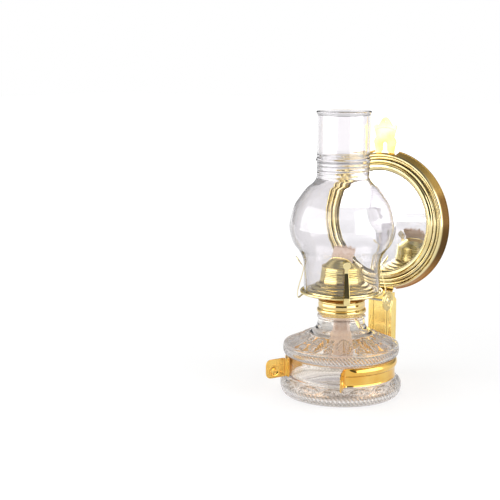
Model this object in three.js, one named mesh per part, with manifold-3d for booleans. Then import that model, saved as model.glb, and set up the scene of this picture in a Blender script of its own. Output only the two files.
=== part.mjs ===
// A flat-wick oil lamp with a pressed glass font, a glass chimney and a brass burner,
// held in a spring clip on a wall bracket that carries a round mirror reflector.
// Millimetres, +Z up. The origin is on the lamp's axis at the underside of the font.
// The bracket stands behind the lamp, at +Y, and the wick knob points to +X.

import * as THREE from "three";
import { mergeVertices } from "three/addons/utils/BufferGeometryUtils.js";
import Module from "manifold-3d";

const wasm = await Module();
wasm.setup();

// ---------------------------------------------------------------- driving sizes

// Clearances
const SEAT_GAP = 0.3; // between two pieces that touch on the real lamp
const THREAD_GAP = 0.5; // radial, burner thread in its collar
const OVERCUT = 4; // how far a cutting shape runs past what it cuts
const BOND = 0.2; // overlap of two shapes joined in one piece

// Font, the glass oil reservoir
const FONT_WALL = 3.6;
const FONT_FLOOR = 5;
const FONT_ROUNDING = 1.4; // of the glass edges
const FONT_FOOT_R = 54;
const FONT_BULGE_R = 61.2;
const FONT_BULGE_HEIGHT = 19;
const FONT_WAIST_R = 53.5;
const FONT_WAIST_HEIGHT = 20.8;
const FONT_RIM_R = 58.4;
const FONT_RIM_HEIGHT = 11.4;
const FONT_SHOULDER_HEIGHT = 17.6;
const FONT_NECK_R = 23.3;
const FONT_NECK_BORE_R = 18.4;
const FONT_NECK_HEIGHT = 12.1;
const FONT_NECK_BEAD_R = 1.6;
const FONT_SPIGOT_R = 21.9; // the plain glass end that the collar is cemented on
const FONT_SPIGOT_HEIGHT = 6.4;

// Collar
const COLLAR_WALL = 1.1;
const COLLAR_HEIGHT = 15;
const COLLAR_BEAD = 1.5;
const COLLAR_BEAD_HEIGHT = 5.4;
const COLLAR_BEAD_RISE = 4.6; // from the collar's lower edge to the middle of the bead

// Burner
const THREAD_LENGTH = 8.4;
const SHEET = 0.8; // brass sheet of the burner
const FLANGE_OVERHANG = 2.4;
const BODY_R = 18.6;
const BODY_HEIGHT = 6.2;
const GALLERY_MARGIN = 3.7; // past the chimney's foot
const GALLERY_ROLL_R = 1.2;
const GALLERY_RISE = 1.2;
const DOME_R = 20.6;
const DOME_TAPER = 1.2; // the cup narrows by about this much at each end
const DOME_HEIGHT = 29;
const DOME_CROWN_HEIGHT = 8;
const DOME_BRIM_HEIGHT = 9;
const FLAME_GAP = 0.6; // round the wick tube in the crown's slot
const PLATE_R = 24.5;
const PLATE_HOLE_R = 1.3;
const PLATE_HOLE_COUNT = 14;

// Wick and its raiser
const WICK_WIDTH = 24.6;
const WICK_THICKNESS = 2.8;
const WICK_ABOVE_DOME = 10;
const WICK_ABOVE_FLOOR = 19;
const TUBE_WALL = 0.7;
const TUBE_CLEARANCE = 0.7;
const TUBE_BELOW_SHAFT = 5;
const TUBE_BELOW_CROWN = 1.6;
const SHAFT_R = 1.05;
const SHAFT_HEIGHT = 2.3; // above the burner's flange
const SHAFT_REACH = 50.2; // from the lamp's axis to the outer face of the knob
const SHAFT_END = 0.8; // past the knob
const WHEEL_R = 4.7;
const WHEEL_TEETH = 12;
const WHEEL_TOOTH = 1;
const WHEEL_THICKNESS = 1.8;
const WHEEL_SPACING = 15;
const BUSH_WALL = 0.55;
const BUSH_LENGTH = 8;
const KNOB_R = 9.2;
const KNOB_THICKNESS = 1.6;
const KNOB_TEETH = 26;
const KNOB_TOOTH = 0.7;
const KNOB_HUB_R = 2.7;
const KNOB_HUB_LENGTH = 2.6;

// Chimney prongs
const PRONG_COUNT = 4;
const PRONG_TURN = 38.7; // degrees from the front to the first prong
const PRONG_SHEET = 0.5;
const PRONG_FOOT_WIDTH = 6;
const PRONG_NECK_WIDTH = 4;
const PRONG_TIP_R = 4.5;
const PRONG_HOOK_DROP = 3.9;
const PRONG_HOOK_OUT = 2.7; // from the gallery's rim to the middle of the blade
const PRONG_HOOK_R = 1.5;
const PRONG_FOOT_IN = 2.4; // from the rivet to the foot's inner end
const PRONG_CRIMP = 1.2;
const PRONG_CRIMP_HEIGHT = 3.4;
const PRONG_TIP_LEAN = 6.4;
const PRONG_BITE = 23; // height above the chimney seat where a prong meets the glass
const PRONG_RIVET_INSET = 9.2;
const RIVET_SHANK_R = 1;
const RIVET_HEAD_R = 1.8;
const RIVET_HEAD = 0.7;

// Chimney
const CHIMNEY_WALL = 1.8;
const CHIMNEY_BASE_R = 38;
const CHIMNEY_BASE_HEIGHT = 27;
const CHIMNEY_BULGE_R = 52.7;
const CHIMNEY_BULGE_HEIGHT = 68; // above the chimney's foot, to the widest ring
const CHIMNEY_PINCH_R = 26.1;
const CHIMNEY_PINCH_HEIGHT = 114;
const CHIMNEY_RIB_HEIGHT = 22;
const CHIMNEY_RIB = 1.6;
const CHIMNEY_STACK_R = 25.9;
const CHIMNEY_HEIGHT = 179.4;
const CHIMNEY_LIP = 1.3;

// Spring clip round the font
const CLIP_SHEET = 0.8;
const CLIP_MARGIN = 0.6; // above and below the strap in the font's waist
const CLIP_BEAD = 2.2;
const CLIP_LIP = 0.5;
const CLIP_MOUTH = 36.7; // degrees from the front to each end
const CLIP_BACK = 15; // degrees from the back to each arm's root
const TAB_LENGTH = 28.4;
const TAB_CORNER_R = 5.5;
const TAB_TURN = 14; // degrees that each tab leans towards the other from straight out
const TAB_FOOT = 1.6; // from the strap's lower edge up to the tab
const TAB_INSET = 1; // of the tab's root below the strap's upper edge
const TAB_RISE = 1.2; // of its free part above the strap's upper edge
const TAB_CLEARANCE = 1.2; // between the font's rim and that free part

// Bracket
const BRACKET_SHEET = 1;
const BRACKET_WIDTH = 28;
const BRACKET_FOOT = 10; // height of the channel's lower end
const BRACKET_DEPTH = 10;
const BRACKET_NECK_DEPTH = 6.4;
const BRACKET_NECK_WIDTH = 27;
const BRACKET_NECK_HEIGHT = 12; // of the shallow part under the reflector
const BRACKET_CORNER = 3;
const BRACKET_STEP = 3.6; // the strap lies this far behind the channel's face
const BRACKET_RIB_WIDTH = 3;
const BRACKET_RIB = 0.8;
const BRACKET_RIB_INSET = 5.6;
const STANDOFF_WIDTH = 13;
const STANDOFF_SHEET = 0.9;
const LEAF_HALF_WIDTH = 13.8;
const LEAF_HEIGHT = 36.6;
const KEYHOLE_SLOT_WIDTH = 5.4;
const KEYHOLE_MOUTH_R = 5;
const KEYHOLE_LENGTH = 13;

// Reflector
const MIRROR_DISTANCE = 76.4; // from the lamp's axis to the glass
const MIRROR_HEIGHT = 166.6;
const MIRROR_SIGHT_R = 53.4;
const MIRROR_R = 59;
const MIRROR_GLASS = 1.8;
const FRAME_SHEET = 0.8;
const FRAME_BEAD_WIDTH = 7.6; // inner bead
const FRAME_BEAD = 2.6;
const FRAME_SMALL_BEAD_WIDTH = 3.7; // outer bead
const FRAME_GROOVE_WIDTH = 3.3;
const FRAME_GROOVE = 1.4;
const FRAME_CREASE = 0.6;
const FRAME_BAND_R = 70;
const FRAME_BACK_R = 73.2;
const FRAME_DEPTH = 9.3;
const FRAME_ROLL_R = 1;
const BACKING = 0.7;
const REFLECTOR_RIVET_SPACING = 50;

// Facets of the round pieces
const FACETS_LARGE = 32;
const FACETS_MEDIUM = 28;
const FACETS_SMALL = 10;
const FACETS_STRAP = 48;

// ---------------------------------------------------------------- derived places

const waistZ = FONT_BULGE_HEIGHT;
const rimZ = waistZ + FONT_WAIST_HEIGHT;
const shoulderZ = rimZ + FONT_RIM_HEIGHT;
const neckZ = shoulderZ + FONT_SHOULDER_HEIGHT;
const spigotZ = neckZ + FONT_NECK_HEIGHT;
const fontTopZ = spigotZ + FONT_SPIGOT_HEIGHT;

const collarZ = spigotZ + SEAT_GAP;
const collarBoreR = FONT_SPIGOT_R + SEAT_GAP;
const collarR = collarBoreR + COLLAR_WALL;
const collarThreadR = collarBoreR - COLLAR_WALL;
const collarTopZ = collarZ + COLLAR_HEIGHT;

const threadR = collarThreadR - THREAD_GAP;
const flangeZ = collarTopZ + SEAT_GAP;
const flangeTopZ = flangeZ + 0.75 * SHEET;
const flangeR = threadR + FLANGE_OVERHANG;
const bodyTopZ = flangeTopZ + BODY_HEIGHT;
const galleryZ = bodyTopZ - SHEET / 2;
const galleryR = CHIMNEY_BASE_R + GALLERY_MARGIN;
const rollR = galleryR - GALLERY_ROLL_R;
const rollZ = galleryZ + GALLERY_RISE + GALLERY_ROLL_R / 2;
const chimneyZ = galleryZ + GALLERY_RISE + SHEET / 2 + SEAT_GAP;
const brimR = CHIMNEY_BASE_R - CHIMNEY_WALL - 3 * SEAT_GAP;
const brimZ = chimneyZ + 0.3 * SHEET;
const crownZ = brimZ + DOME_BRIM_HEIGHT + DOME_HEIGHT - DOME_CROWN_HEIGHT / 2;

const tubeWidth = WICK_WIDTH + 2 * (TUBE_CLEARANCE + TUBE_WALL);
const tubeDepth = WICK_THICKNESS + 2 * (TUBE_CLEARANCE + TUBE_WALL);
const shaftY = WICK_THICKNESS / 2 + SEAT_GAP + WHEEL_R;
const shaftZ = flangeTopZ + SHAFT_HEIGHT;
const bushR = SHAFT_R + SEAT_GAP + BUSH_WALL;
const wickTopZ = crownZ + WICK_ABOVE_DOME;
const wickBottomZ = FONT_FLOOR + WICK_ABOVE_FLOOR;

const strapR = FONT_WAIST_R + SEAT_GAP + CLIP_SHEET / 2;
const strapZ = waistZ + CLIP_MARGIN;
const strapTopZ = rimZ - CLIP_MARGIN;
const strapHeight = strapTopZ - strapZ;
const strapBandZ = strapZ + 0.55 * strapHeight;

const mirrorBackY = MIRROR_DISTANCE + MIRROR_GLASS;
const backingY = mirrorBackY + 2 * SEAT_GAP + RIVET_HEAD;
const leafY = backingY + BACKING + SEAT_GAP;
const panelY = leafY - BRACKET_STEP;
const wallY = panelY + BRACKET_DEPTH;
const leafZ = MIRROR_HEIGHT + FRAME_BAND_R + 1;
const leafTopZ = leafZ + LEAF_HEIGHT;
const keyholeTopZ = leafZ + 0.31 * LEAF_HEIGHT;
const panelTopZ = MIRROR_HEIGHT - FRAME_BAND_R - 2;

// ---------------------------------------------------------------- materials

const finish = (color, roughness, metalness, opacity = 1) =>
  new THREE.MeshStandardMaterial({ color, roughness, metalness, opacity, transparent: opacity < 1 });

const clearGlass = () => finish("#eef0ee", 0.05, 0, 0.35);
const paleBrass = () => finish("#e6d28a", 0.22, 1);
const goldBrass = () => finish("#eebf4e", 0.2, 1);
const darkBrass = () => finish("#8d7440", 0.35, 1);
const mirrorSilver = () => finish("#f2f3f4", 0.03, 1);
const cotton = () => finish("#dcc3b4", 0.95, 0);
const greySteel = () => finish("#8f9194", 0.4, 1);

// ---------------------------------------------------------------- geometry helpers

const v2 = (x, y) => new THREE.Vector2(x, y);

function toSolid(geometry) {
  const bare = geometry.clone();
  bare.deleteAttribute("normal");
  bare.deleteAttribute("uv");
  const merged = mergeVertices(bare, 1e-4);
  const mesh = new wasm.Mesh({
    numProp: 3,
    vertProperties: new Float32Array(merged.attributes.position.array),
    triVerts: new Uint32Array(merged.index.array),
  });
  return new wasm.Manifold(mesh);
}

function toGeometry(solid) {
  const mesh = solid.getMesh();
  const geometry = new THREE.BufferGeometry();
  geometry.setAttribute("position", new THREE.BufferAttribute(new Float32Array(mesh.vertProperties), 3));
  geometry.setIndex(new THREE.BufferAttribute(new Uint32Array(mesh.triVerts), 1));
  return geometry;
}

// Twice the signed area of a closed outline: positive when it runs anticlockwise.
function signedArea(points) {
  return points.reduce((sum, p, i) => {
    const q = points[(i + 1) % points.length];
    return sum + p.x * q.y - q.x * p.y;
  }, 0);
}

// Solid of revolution about Z from an outline of (radius, height) points. An outline that
// starts and ends on the axis is left open there, and any other closes on itself.
function turned(outline, facets) {
  const points = signedArea(outline) > 0 ? outline : [...outline].reverse();
  const first = points[0];
  const last = points[points.length - 1];
  const onAxis = first.x === 0 && last.x === 0;
  const profile = onAxis ? points : [...points, first.clone()];
  return new THREE.LatheGeometry(profile, facets).rotateX(Math.PI / 2);
}

// Outline of a sheet of the given thickness along an open centre line. A line that starts
// on the axis starts level there, so that the turned sheet closes.
function sheetOutline(line, thickness) {
  const sides = [[], []];
  line.forEach((p, i) => {
    const before = line[Math.max(i - 1, 0)];
    const after = line[Math.min(i + 1, line.length - 1)];
    const along = after.clone().sub(before).normalize();
    const normal = p.x === 0 ? v2(0, 1) : v2(-along.y, along.x);
    normal.multiplyScalar(thickness / 2);
    sides[0].push(p.clone().add(normal));
    sides[1].push(p.clone().sub(normal));
  });
  return [...sides[0], ...sides[1].reverse()];
}

// Points on an arc, both ends included. Angles are in degrees.
function arc(cx, cy, r, from, to, steps) {
  return Array.from({ length: steps + 1 }, (_, i) => {
    const a = THREE.MathUtils.degToRad(from + ((to - from) * i) / steps);
    return v2(cx + r * Math.cos(a), cy + r * Math.sin(a));
  });
}

// Flat plate: an outline in X and Y, with holes, raised by its thickness along Z.
function plate(outline, thickness, holes = []) {
  const shape = new THREE.Shape(outline);
  holes.forEach((hole) => shape.holes.push(new THREE.Path(hole)));
  return new THREE.ExtrudeGeometry(shape, { depth: thickness, bevelEnabled: false, steps: 1 });
}

// The same plate standing up: its outline in X and Z, its thickness from y towards +Y.
const standingPlate = (outline, y, thickness, holes) =>
  plate(outline, thickness, holes).rotateX(Math.PI / 2).translate(0, y + thickness, 0);

// A side outline in Y and Z, its thickness centred on x.
const sidePlate = (outline, x, thickness) =>
  plate(outline, thickness)
    .rotateX(Math.PI / 2)
    .rotateZ(Math.PI / 2)
    .translate(x - thickness / 2, 0, 0);

const rectangle = (x0, y0, x1, y1) => [v2(x0, y0), v2(x1, y0), v2(x1, y1), v2(x0, y1)];

const block = (x0, y0, z0, x1, y1, z1) =>
  new THREE.BoxGeometry(x1 - x0, y1 - y0, z1 - z0)
    .translate((x0 + x1) / 2, (y0 + y1) / 2, (z0 + z1) / 2);

const rodZ = (r, z0, z1, facets = FACETS_SMALL) =>
  new THREE.CylinderGeometry(r, r, z1 - z0, facets).rotateX(Math.PI / 2).translate(0, 0, (z0 + z1) / 2);

const rodX = (r, x0, x1, y, z, facets = FACETS_SMALL) =>
  rodZ(r, x0, x1, facets).rotateY(Math.PI / 2).translate(0, y, z);

const rodY = (r, y0, y1, x, z, facets = FACETS_SMALL) =>
  rodZ(r, y0, y1, facets).rotateX(-Math.PI / 2).translate(x, 0, z);

// A wheel outline with rounded teeth.
function toothedOutline(r, depth, teeth) {
  return Array.from({ length: teeth * 4 }, (_, i) => {
    const a = (i / (teeth * 4)) * 2 * Math.PI;
    const radius = r - (depth / 2) * (1 - Math.cos(a * teeth));
    return v2(radius * Math.cos(a), radius * Math.sin(a));
  });
}

const circle = (r, facets = FACETS_SMALL) => arc(0, 0, r, 0, 360 - 360 / facets, facets - 1);

// ---------------------------------------------------------------- assembly

const lamp = new THREE.Group();

function add(name, shape, material) {
  const geometry = shape.isBufferGeometry ? shape : toGeometry(shape);
  const mesh = new THREE.Mesh(geometry, material);
  mesh.name = name;
  lamp.add(mesh);
  return mesh;
}

// ---------------------------------------------------------------- font

// The glass wall follows the outside: foot, bulge, plain waist, rim, shoulder and neck.
function fontSide(inset) {
  const bulgeHeight = FONT_BULGE_HEIGHT - 1.5 * FONT_ROUNDING;
  const footCorner = (FONT_BULGE_R - FONT_FOOT_R) * 0.8;
  return [
    v2(FONT_BULGE_R - inset - FONT_ROUNDING, footCorner),
    v2(FONT_BULGE_R - inset, 0.5 * bulgeHeight),
    v2(FONT_BULGE_R - inset - 0.6 * FONT_ROUNDING, 0.8 * bulgeHeight),
    v2(FONT_WAIST_R - inset + 1.9 * FONT_ROUNDING, bulgeHeight),
    v2(FONT_WAIST_R - inset, waistZ),
    v2(FONT_WAIST_R - inset, rimZ),
    v2(FONT_RIM_R - inset - 0.7 * FONT_ROUNDING, rimZ + FONT_ROUNDING),
    v2(FONT_RIM_R - inset, rimZ + 0.3 * FONT_RIM_HEIGHT),
    v2(FONT_RIM_R - inset, shoulderZ - 1.3 * FONT_ROUNDING),
    v2(FONT_RIM_R - inset - FONT_ROUNDING, shoulderZ),
  ];
}

function makeFont() {
  const round = FONT_ROUNDING;
  const beadR = FONT_NECK_BEAD_R;
  const foot = [v2(0, 0), v2(FONT_FOOT_R, 0), v2(FONT_FOOT_R + 2.4 * round, round)];
  const shoulderEnd = v2(FONT_NECK_R + 2 * round, neckZ - round);
  const neck = [v2(FONT_NECK_R + 0.5 * round, neckZ + round), v2(FONT_NECK_R, neckZ + 3 * round)];
  const bead = arc(FONT_NECK_R - 0.4 * beadR, spigotZ - beadR, beadR, -60, 90, 4);
  const spigot = [
    v2(FONT_SPIGOT_R, spigotZ),
    v2(FONT_SPIGOT_R, fontTopZ - 0.6 * round),
    v2(FONT_SPIGOT_R - 0.6 * round, fontTopZ),
  ];
  const bore = [v2(FONT_NECK_BORE_R, fontTopZ), v2(FONT_NECK_BORE_R, neckZ + 0.3 * FONT_WALL)];
  const inner = [
    v2(FONT_NECK_BORE_R + FONT_WALL, neckZ - 1.3 * FONT_WALL),
    ...fontSide(FONT_WALL).reverse().filter((p) => p.y < shoulderZ && p.y > FONT_FLOOR + round),
    v2(FONT_FOOT_R - FONT_WALL, FONT_FLOOR),
    v2(0, FONT_FLOOR),
  ];
  const outline = [...foot, ...fontSide(0), shoulderEnd, ...neck, ...bead, ...spigot, ...bore, ...inner];
  add("font_glass", turned(outline, FACETS_LARGE), clearGlass());
}

// Spun brass collar: a skirt with one bold bead over the glass spigot, and a narrower
// threaded top.
function makeCollar() {
  const beadZ = collarZ + COLLAR_BEAD_RISE;
  const bead = arc(0, 0, 1, -90, 90, 6).map((p) =>
    v2(collarR + COLLAR_BEAD * p.x, beadZ + (COLLAR_BEAD_HEIGHT / 2) * p.y),
  );
  const stepZ = fontTopZ + SEAT_GAP;
  const outline = [
    v2(collarBoreR, collarZ),
    v2(collarR - 0.4 * COLLAR_WALL, collarZ),
    ...bead,
    v2(collarR - 0.4 * COLLAR_WALL, collarTopZ),
    v2(collarThreadR, collarTopZ),
    v2(collarThreadR, stepZ),
    v2(collarBoreR, stepZ),
  ];
  add("font_collar", turned(outline, FACETS_MEDIUM), goldBrass());
}

// ---------------------------------------------------------------- burner

// Threaded shell, seating flange and the short body that carries everything above.
function makeBurnerBase() {
  const threadZ = flangeZ - THREAD_LENGTH;
  const outline = [
    v2(threadR - SHEET, threadZ),
    v2(threadR, threadZ),
    v2(threadR, flangeZ),
    v2(flangeR, flangeZ),
    v2(flangeR, flangeTopZ),
    v2(BODY_R, flangeTopZ),
    v2(BODY_R, bodyTopZ),
    v2(BODY_R - SHEET, bodyTopZ),
    v2(BODY_R - SHEET, flangeTopZ),
    v2(threadR - SHEET, flangeZ - 0.5 * SHEET),
  ];
  const shaftHole = rodX(SHAFT_R + SEAT_GAP, -BODY_R - OVERCUT, 0, shaftY, shaftZ);
  const bushHole = rodX(bushR + SEAT_GAP, 0, BODY_R + OVERCUT, shaftY, shaftZ);
  const shell = toSolid(turned(outline, FACETS_MEDIUM));
  const base = shell.subtract(toSolid(shaftHole)).subtract(toSolid(bushHole));
  add("burner_base", base, darkBrass());
}

const prongAngles = Array.from(
  { length: PRONG_COUNT },
  (_, i) => THREE.MathUtils.degToRad(PRONG_TURN + (i * 360) / PRONG_COUNT),
);
const prongRivetR = galleryR - PRONG_RIVET_INSET;

// Height of the gallery's middle line at a radius.
function galleryHeight(r) {
  const t = (r - BODY_R) / (rollR - BODY_R);
  return galleryZ + GALLERY_RISE * t * t;
}

// Shallow dish with a rolled rim, which the chimney stands in.
function makeGallery() {
  const innerR = BODY_R + SEAT_GAP;
  const steps = 3;
  const dish = Array.from({ length: steps + 1 }, (_, i) => {
    const r = innerR + ((rollR - innerR) * i) / steps;
    return v2(r, galleryHeight(r));
  });
  const sheet = toSolid(turned(sheetOutline(dish, SHEET), FACETS_LARGE));
  const roll = toSolid(turned(arc(rollR, rollZ, GALLERY_ROLL_R, 0, 300, 5), FACETS_LARGE));
  const holes = prongAngles.map((angle) =>
    toSolid(
      rodZ(RIVET_SHANK_R + SEAT_GAP, galleryZ - OVERCUT, galleryZ + OVERCUT)
        .translate(0, -prongRivetR, 0)
        .rotateZ(angle),
    ),
  );
  const gallery = holes.reduce((solid, hole) => solid.subtract(hole), sheet.add(roll));
  add("burner_gallery", gallery, paleBrass());
}

// Perforated plate that spreads the air and holds the wick tube upright.
function makeDraftPlate() {
  const ringR = 0.81 * PLATE_R;
  const z = bodyTopZ + SEAT_GAP;
  const tubeHole = rectangle(
    -tubeWidth / 2 - SEAT_GAP,
    -tubeDepth / 2 - SEAT_GAP,
    tubeWidth / 2 + SEAT_GAP,
    shaftY + WHEEL_R + 2 * SEAT_GAP,
  );
  const holes = Array.from({ length: PLATE_HOLE_COUNT }, (_, i) => {
    const a = ((i + 0.5) / PLATE_HOLE_COUNT) * 2 * Math.PI;
    return circle(PLATE_HOLE_R, 8).map((p) => v2(p.x + ringR * Math.cos(a), p.y + ringR * Math.sin(a)));
  });
  const disc = plate(circle(PLATE_R, FACETS_MEDIUM), 0.75 * SHEET, [tubeHole, ...holes]);
  add("draft_plate", disc.translate(0, 0, z), darkBrass());
}

// Flame spreader: a stepped brim, a tall cup and a crown with the flame slot.
function makeDome() {
  const step = (brimR - DOME_R) / 4;
  const cupZ = brimZ + DOME_BRIM_HEIGHT;
  const crownStartZ = crownZ - DOME_CROWN_HEIGHT;
  const line = [
    v2(brimR, brimZ),
    v2(brimR - 0.5 * step, brimZ + 0.25 * DOME_BRIM_HEIGHT),
    v2(brimR - 1.6 * step, brimZ + 0.34 * DOME_BRIM_HEIGHT),
    v2(brimR - 1.9 * step, brimZ + 0.48 * DOME_BRIM_HEIGHT),
    v2(brimR - 2.6 * step, brimZ + 0.55 * DOME_BRIM_HEIGHT),
    v2(brimR - 3.2 * step, brimZ + 0.7 * DOME_BRIM_HEIGHT),
    v2(DOME_R + DOME_TAPER, cupZ),
    v2(DOME_R, cupZ + 0.3 * DOME_HEIGHT),
    v2(DOME_R - 0.8 * DOME_TAPER, crownStartZ - 0.25 * DOME_CROWN_HEIGHT),
  ];
  const crown = Array.from({ length: 6 }, (_, i) => {
    const a = (i / 6) * (Math.PI / 2);
    return v2((DOME_R - 1.2 * DOME_TAPER) * Math.cos(a), crownStartZ + DOME_CROWN_HEIGHT * Math.sin(a));
  });
  const fromTop = [...line, ...crown, v2(0, crownZ)].reverse();
  const closed = turned(sheetOutline(fromTop, 0.6 * SHEET), FACETS_MEDIUM);
  const slotX = tubeWidth / 2 + FLAME_GAP;
  const slotY = tubeDepth / 2 + FLAME_GAP;
  const slot = block(-slotX, -slotY, crownStartZ + FLAME_GAP, slotX, slotY, crownZ + OVERCUT);
  add("burner_dome", toSolid(closed).subtract(toSolid(slot)), paleBrass());
}

// ---------------------------------------------------------------- wick and raiser

function makeWick() {
  const wick = block(
    -WICK_WIDTH / 2,
    -WICK_THICKNESS / 2,
    wickBottomZ,
    WICK_WIDTH / 2,
    WICK_THICKNESS / 2,
    wickTopZ,
  );
  add("wick", wick, cotton());
}

// Flat tube that guides the wick, with two windows for the spur wheels.
function makeWickTube() {
  const z0 = shaftZ - TUBE_BELOW_SHAFT;
  const z1 = crownZ - DOME_CROWN_HEIGHT + TUBE_BELOW_CROWN;
  const outer = rectangle(-tubeWidth / 2, -tubeDepth / 2, tubeWidth / 2, tubeDepth / 2);
  const inner = rectangle(
    -tubeWidth / 2 + TUBE_WALL,
    -tubeDepth / 2 + TUBE_WALL,
    tubeWidth / 2 - TUBE_WALL,
    tubeDepth / 2 - TUBE_WALL,
  );
  const tube = toSolid(plate(outer, z1 - z0, [inner]).translate(0, 0, z0));
  const halfWindow = WHEEL_THICKNESS / 2 + SEAT_GAP;
  const cut = [-1, 1].reduce((solid, side) => {
    const x = (side * WHEEL_SPACING) / 2;
    const reach = WHEEL_R - SEAT_GAP;
    const window = block(x - halfWindow, 0, shaftZ - reach, x + halfWindow, tubeDepth, shaftZ + reach);
    return solid.subtract(toSolid(window));
  }, tube);
  add("wick_tube", cut, darkBrass());
}

function makeRaiser() {
  const knobX = SHAFT_REACH - KNOB_THICKNESS;
  add("knob_shaft", rodX(SHAFT_R, -BODY_R, SHAFT_REACH + SHAFT_END, shaftY, shaftZ), greySteel());

  const bushHole = circle(SHAFT_R + SEAT_GAP);
  const bush = plate(circle(bushR), BUSH_LENGTH, [bushHole]).rotateY(Math.PI / 2);
  add("shaft_bush", bush.translate(BODY_R - 0.3 * BUSH_LENGTH, shaftY, shaftZ), paleBrass());

  const wheelNames = ["spur_wheel_left", "spur_wheel_right"];
  wheelNames.forEach((name, i) => {
    const outline = toothedOutline(WHEEL_R, WHEEL_TOOTH, WHEEL_TEETH);
    const wheel = plate(outline, WHEEL_THICKNESS, [circle(SHAFT_R + SEAT_GAP)]).rotateY(Math.PI / 2);
    const x = (i - 0.5) * WHEEL_SPACING - WHEEL_THICKNESS / 2;
    add(name, wheel.translate(x, shaftY, shaftZ), greySteel());
  });

  const knobHole = circle(SHAFT_R + SEAT_GAP);
  const disc = plate(toothedOutline(KNOB_R, KNOB_TOOTH, KNOB_TEETH), KNOB_THICKNESS, [knobHole]);
  const hub = plate(circle(KNOB_HUB_R), KNOB_HUB_LENGTH + BOND, [knobHole])
    .translate(0, 0, -KNOB_HUB_LENGTH);
  const knob = toGeometry(toSolid(disc).add(toSolid(hub))).rotateY(Math.PI / 2);
  add("wick_knob", knob.translate(knobX, shaftY, shaftZ), paleBrass());
}

// ---------------------------------------------------------------- prongs

// Side line of a prong in (radius, height): a foot riveted under the gallery, a hook round
// its rim, a blade that leans in to the glass and a tip that turns out again.
function prongLine() {
  const footInR = prongRivetR - PRONG_FOOT_IN;
  const footZ = galleryHeight(footInR) - SHEET / 2 - SEAT_GAP - PRONG_SHEET / 2;
  const bladeR = galleryR + PRONG_HOOK_OUT;
  const touchR = CHIMNEY_BASE_R + SEAT_GAP + PRONG_SHEET / 2;
  const biteZ = chimneyZ + PRONG_BITE;
  const crimpZ = biteZ + PRONG_CRIMP_HEIGHT;
  const hookZ = footZ - PRONG_HOOK_DROP + PRONG_HOOK_R;
  const hook = arc(bladeR - PRONG_HOOK_R, hookZ, PRONG_HOOK_R, -110, 0, 4);
  return [
    v2(footInR, footZ),
    v2(prongRivetR + 0.35 * PRONG_RIVET_INSET, footZ),
    ...hook,
    v2(bladeR, rollZ + GALLERY_ROLL_R),
    v2(touchR, biteZ),
    v2(touchR + PRONG_CRIMP, crimpZ),
    v2(touchR + PRONG_CRIMP + PRONG_TIP_LEAN, crimpZ + 2 * PRONG_TIP_R),
  ];
}

// Front outline of a prong in (width, height): it narrows upwards and ends in a round tip.
function prongFace(line) {
  const bottomZ = Math.min(...line.map((p) => p.y)) - PRONG_SHEET;
  const narrowZ = chimneyZ + PRONG_BITE + 0.6 * PRONG_CRIMP_HEIGHT;
  const tipZ = line[line.length - 1].y - PRONG_TIP_R;
  const tip = arc(0, tipZ, PRONG_TIP_R, -60, 240, 10);
  return [
    v2(-PRONG_FOOT_WIDTH / 2, bottomZ),
    v2(PRONG_FOOT_WIDTH / 2, bottomZ),
    v2(PRONG_FOOT_WIDTH / 2, rollZ),
    v2(PRONG_NECK_WIDTH / 2, narrowZ),
    ...tip,
    v2(-PRONG_NECK_WIDTH / 2, narrowZ),
    v2(-PRONG_FOOT_WIDTH / 2, rollZ),
  ];
}

function makeProngs() {
  const line = prongLine();
  const widest = 2 * PRONG_TIP_R + PRONG_FOOT_WIDTH;
  const side = sidePlate(sheetOutline(line, PRONG_SHEET), 0, widest).rotateZ(Math.PI);
  const reach = galleryR + PRONG_HOOK_OUT + OVERCUT;
  const face = standingPlate(prongFace(line), -reach, reach);
  const footZ = line[0].y;
  const hole = rodZ(RIVET_SHANK_R + SEAT_GAP, footZ - PRONG_SHEET, footZ + PRONG_SHEET)
    .translate(0, -prongRivetR, 0);
  const blank = toSolid(side).intersect(toSolid(face)).subtract(toSolid(hole));

  const sheetTop = galleryHeight(prongRivetR + RIVET_HEAD_R) + SHEET / 2 + SEAT_GAP;
  const footLow = footZ - PRONG_SHEET / 2 - SEAT_GAP;
  const rivetOutline = [
    v2(0, footLow - RIVET_HEAD),
    v2(RIVET_HEAD_R, footLow - 0.6 * RIVET_HEAD),
    v2(RIVET_HEAD_R, footLow),
    v2(RIVET_SHANK_R, footLow),
    v2(RIVET_SHANK_R, sheetTop),
    v2(RIVET_HEAD_R, sheetTop),
    v2(RIVET_HEAD_R, sheetTop + 0.6 * RIVET_HEAD),
    v2(0, sheetTop + RIVET_HEAD),
  ];
  prongAngles.forEach((angle, i) => {
    add(`chimney_prong_${i + 1}`, toGeometry(blank), paleBrass()).rotation.z = angle;
    const rivet = turned(rivetOutline, FACETS_SMALL).translate(0, -prongRivetR, 0);
    add(`prong_rivet_${i + 1}`, rivet, paleBrass()).rotation.z = angle;
  });
}

// ---------------------------------------------------------------- chimney

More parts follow.
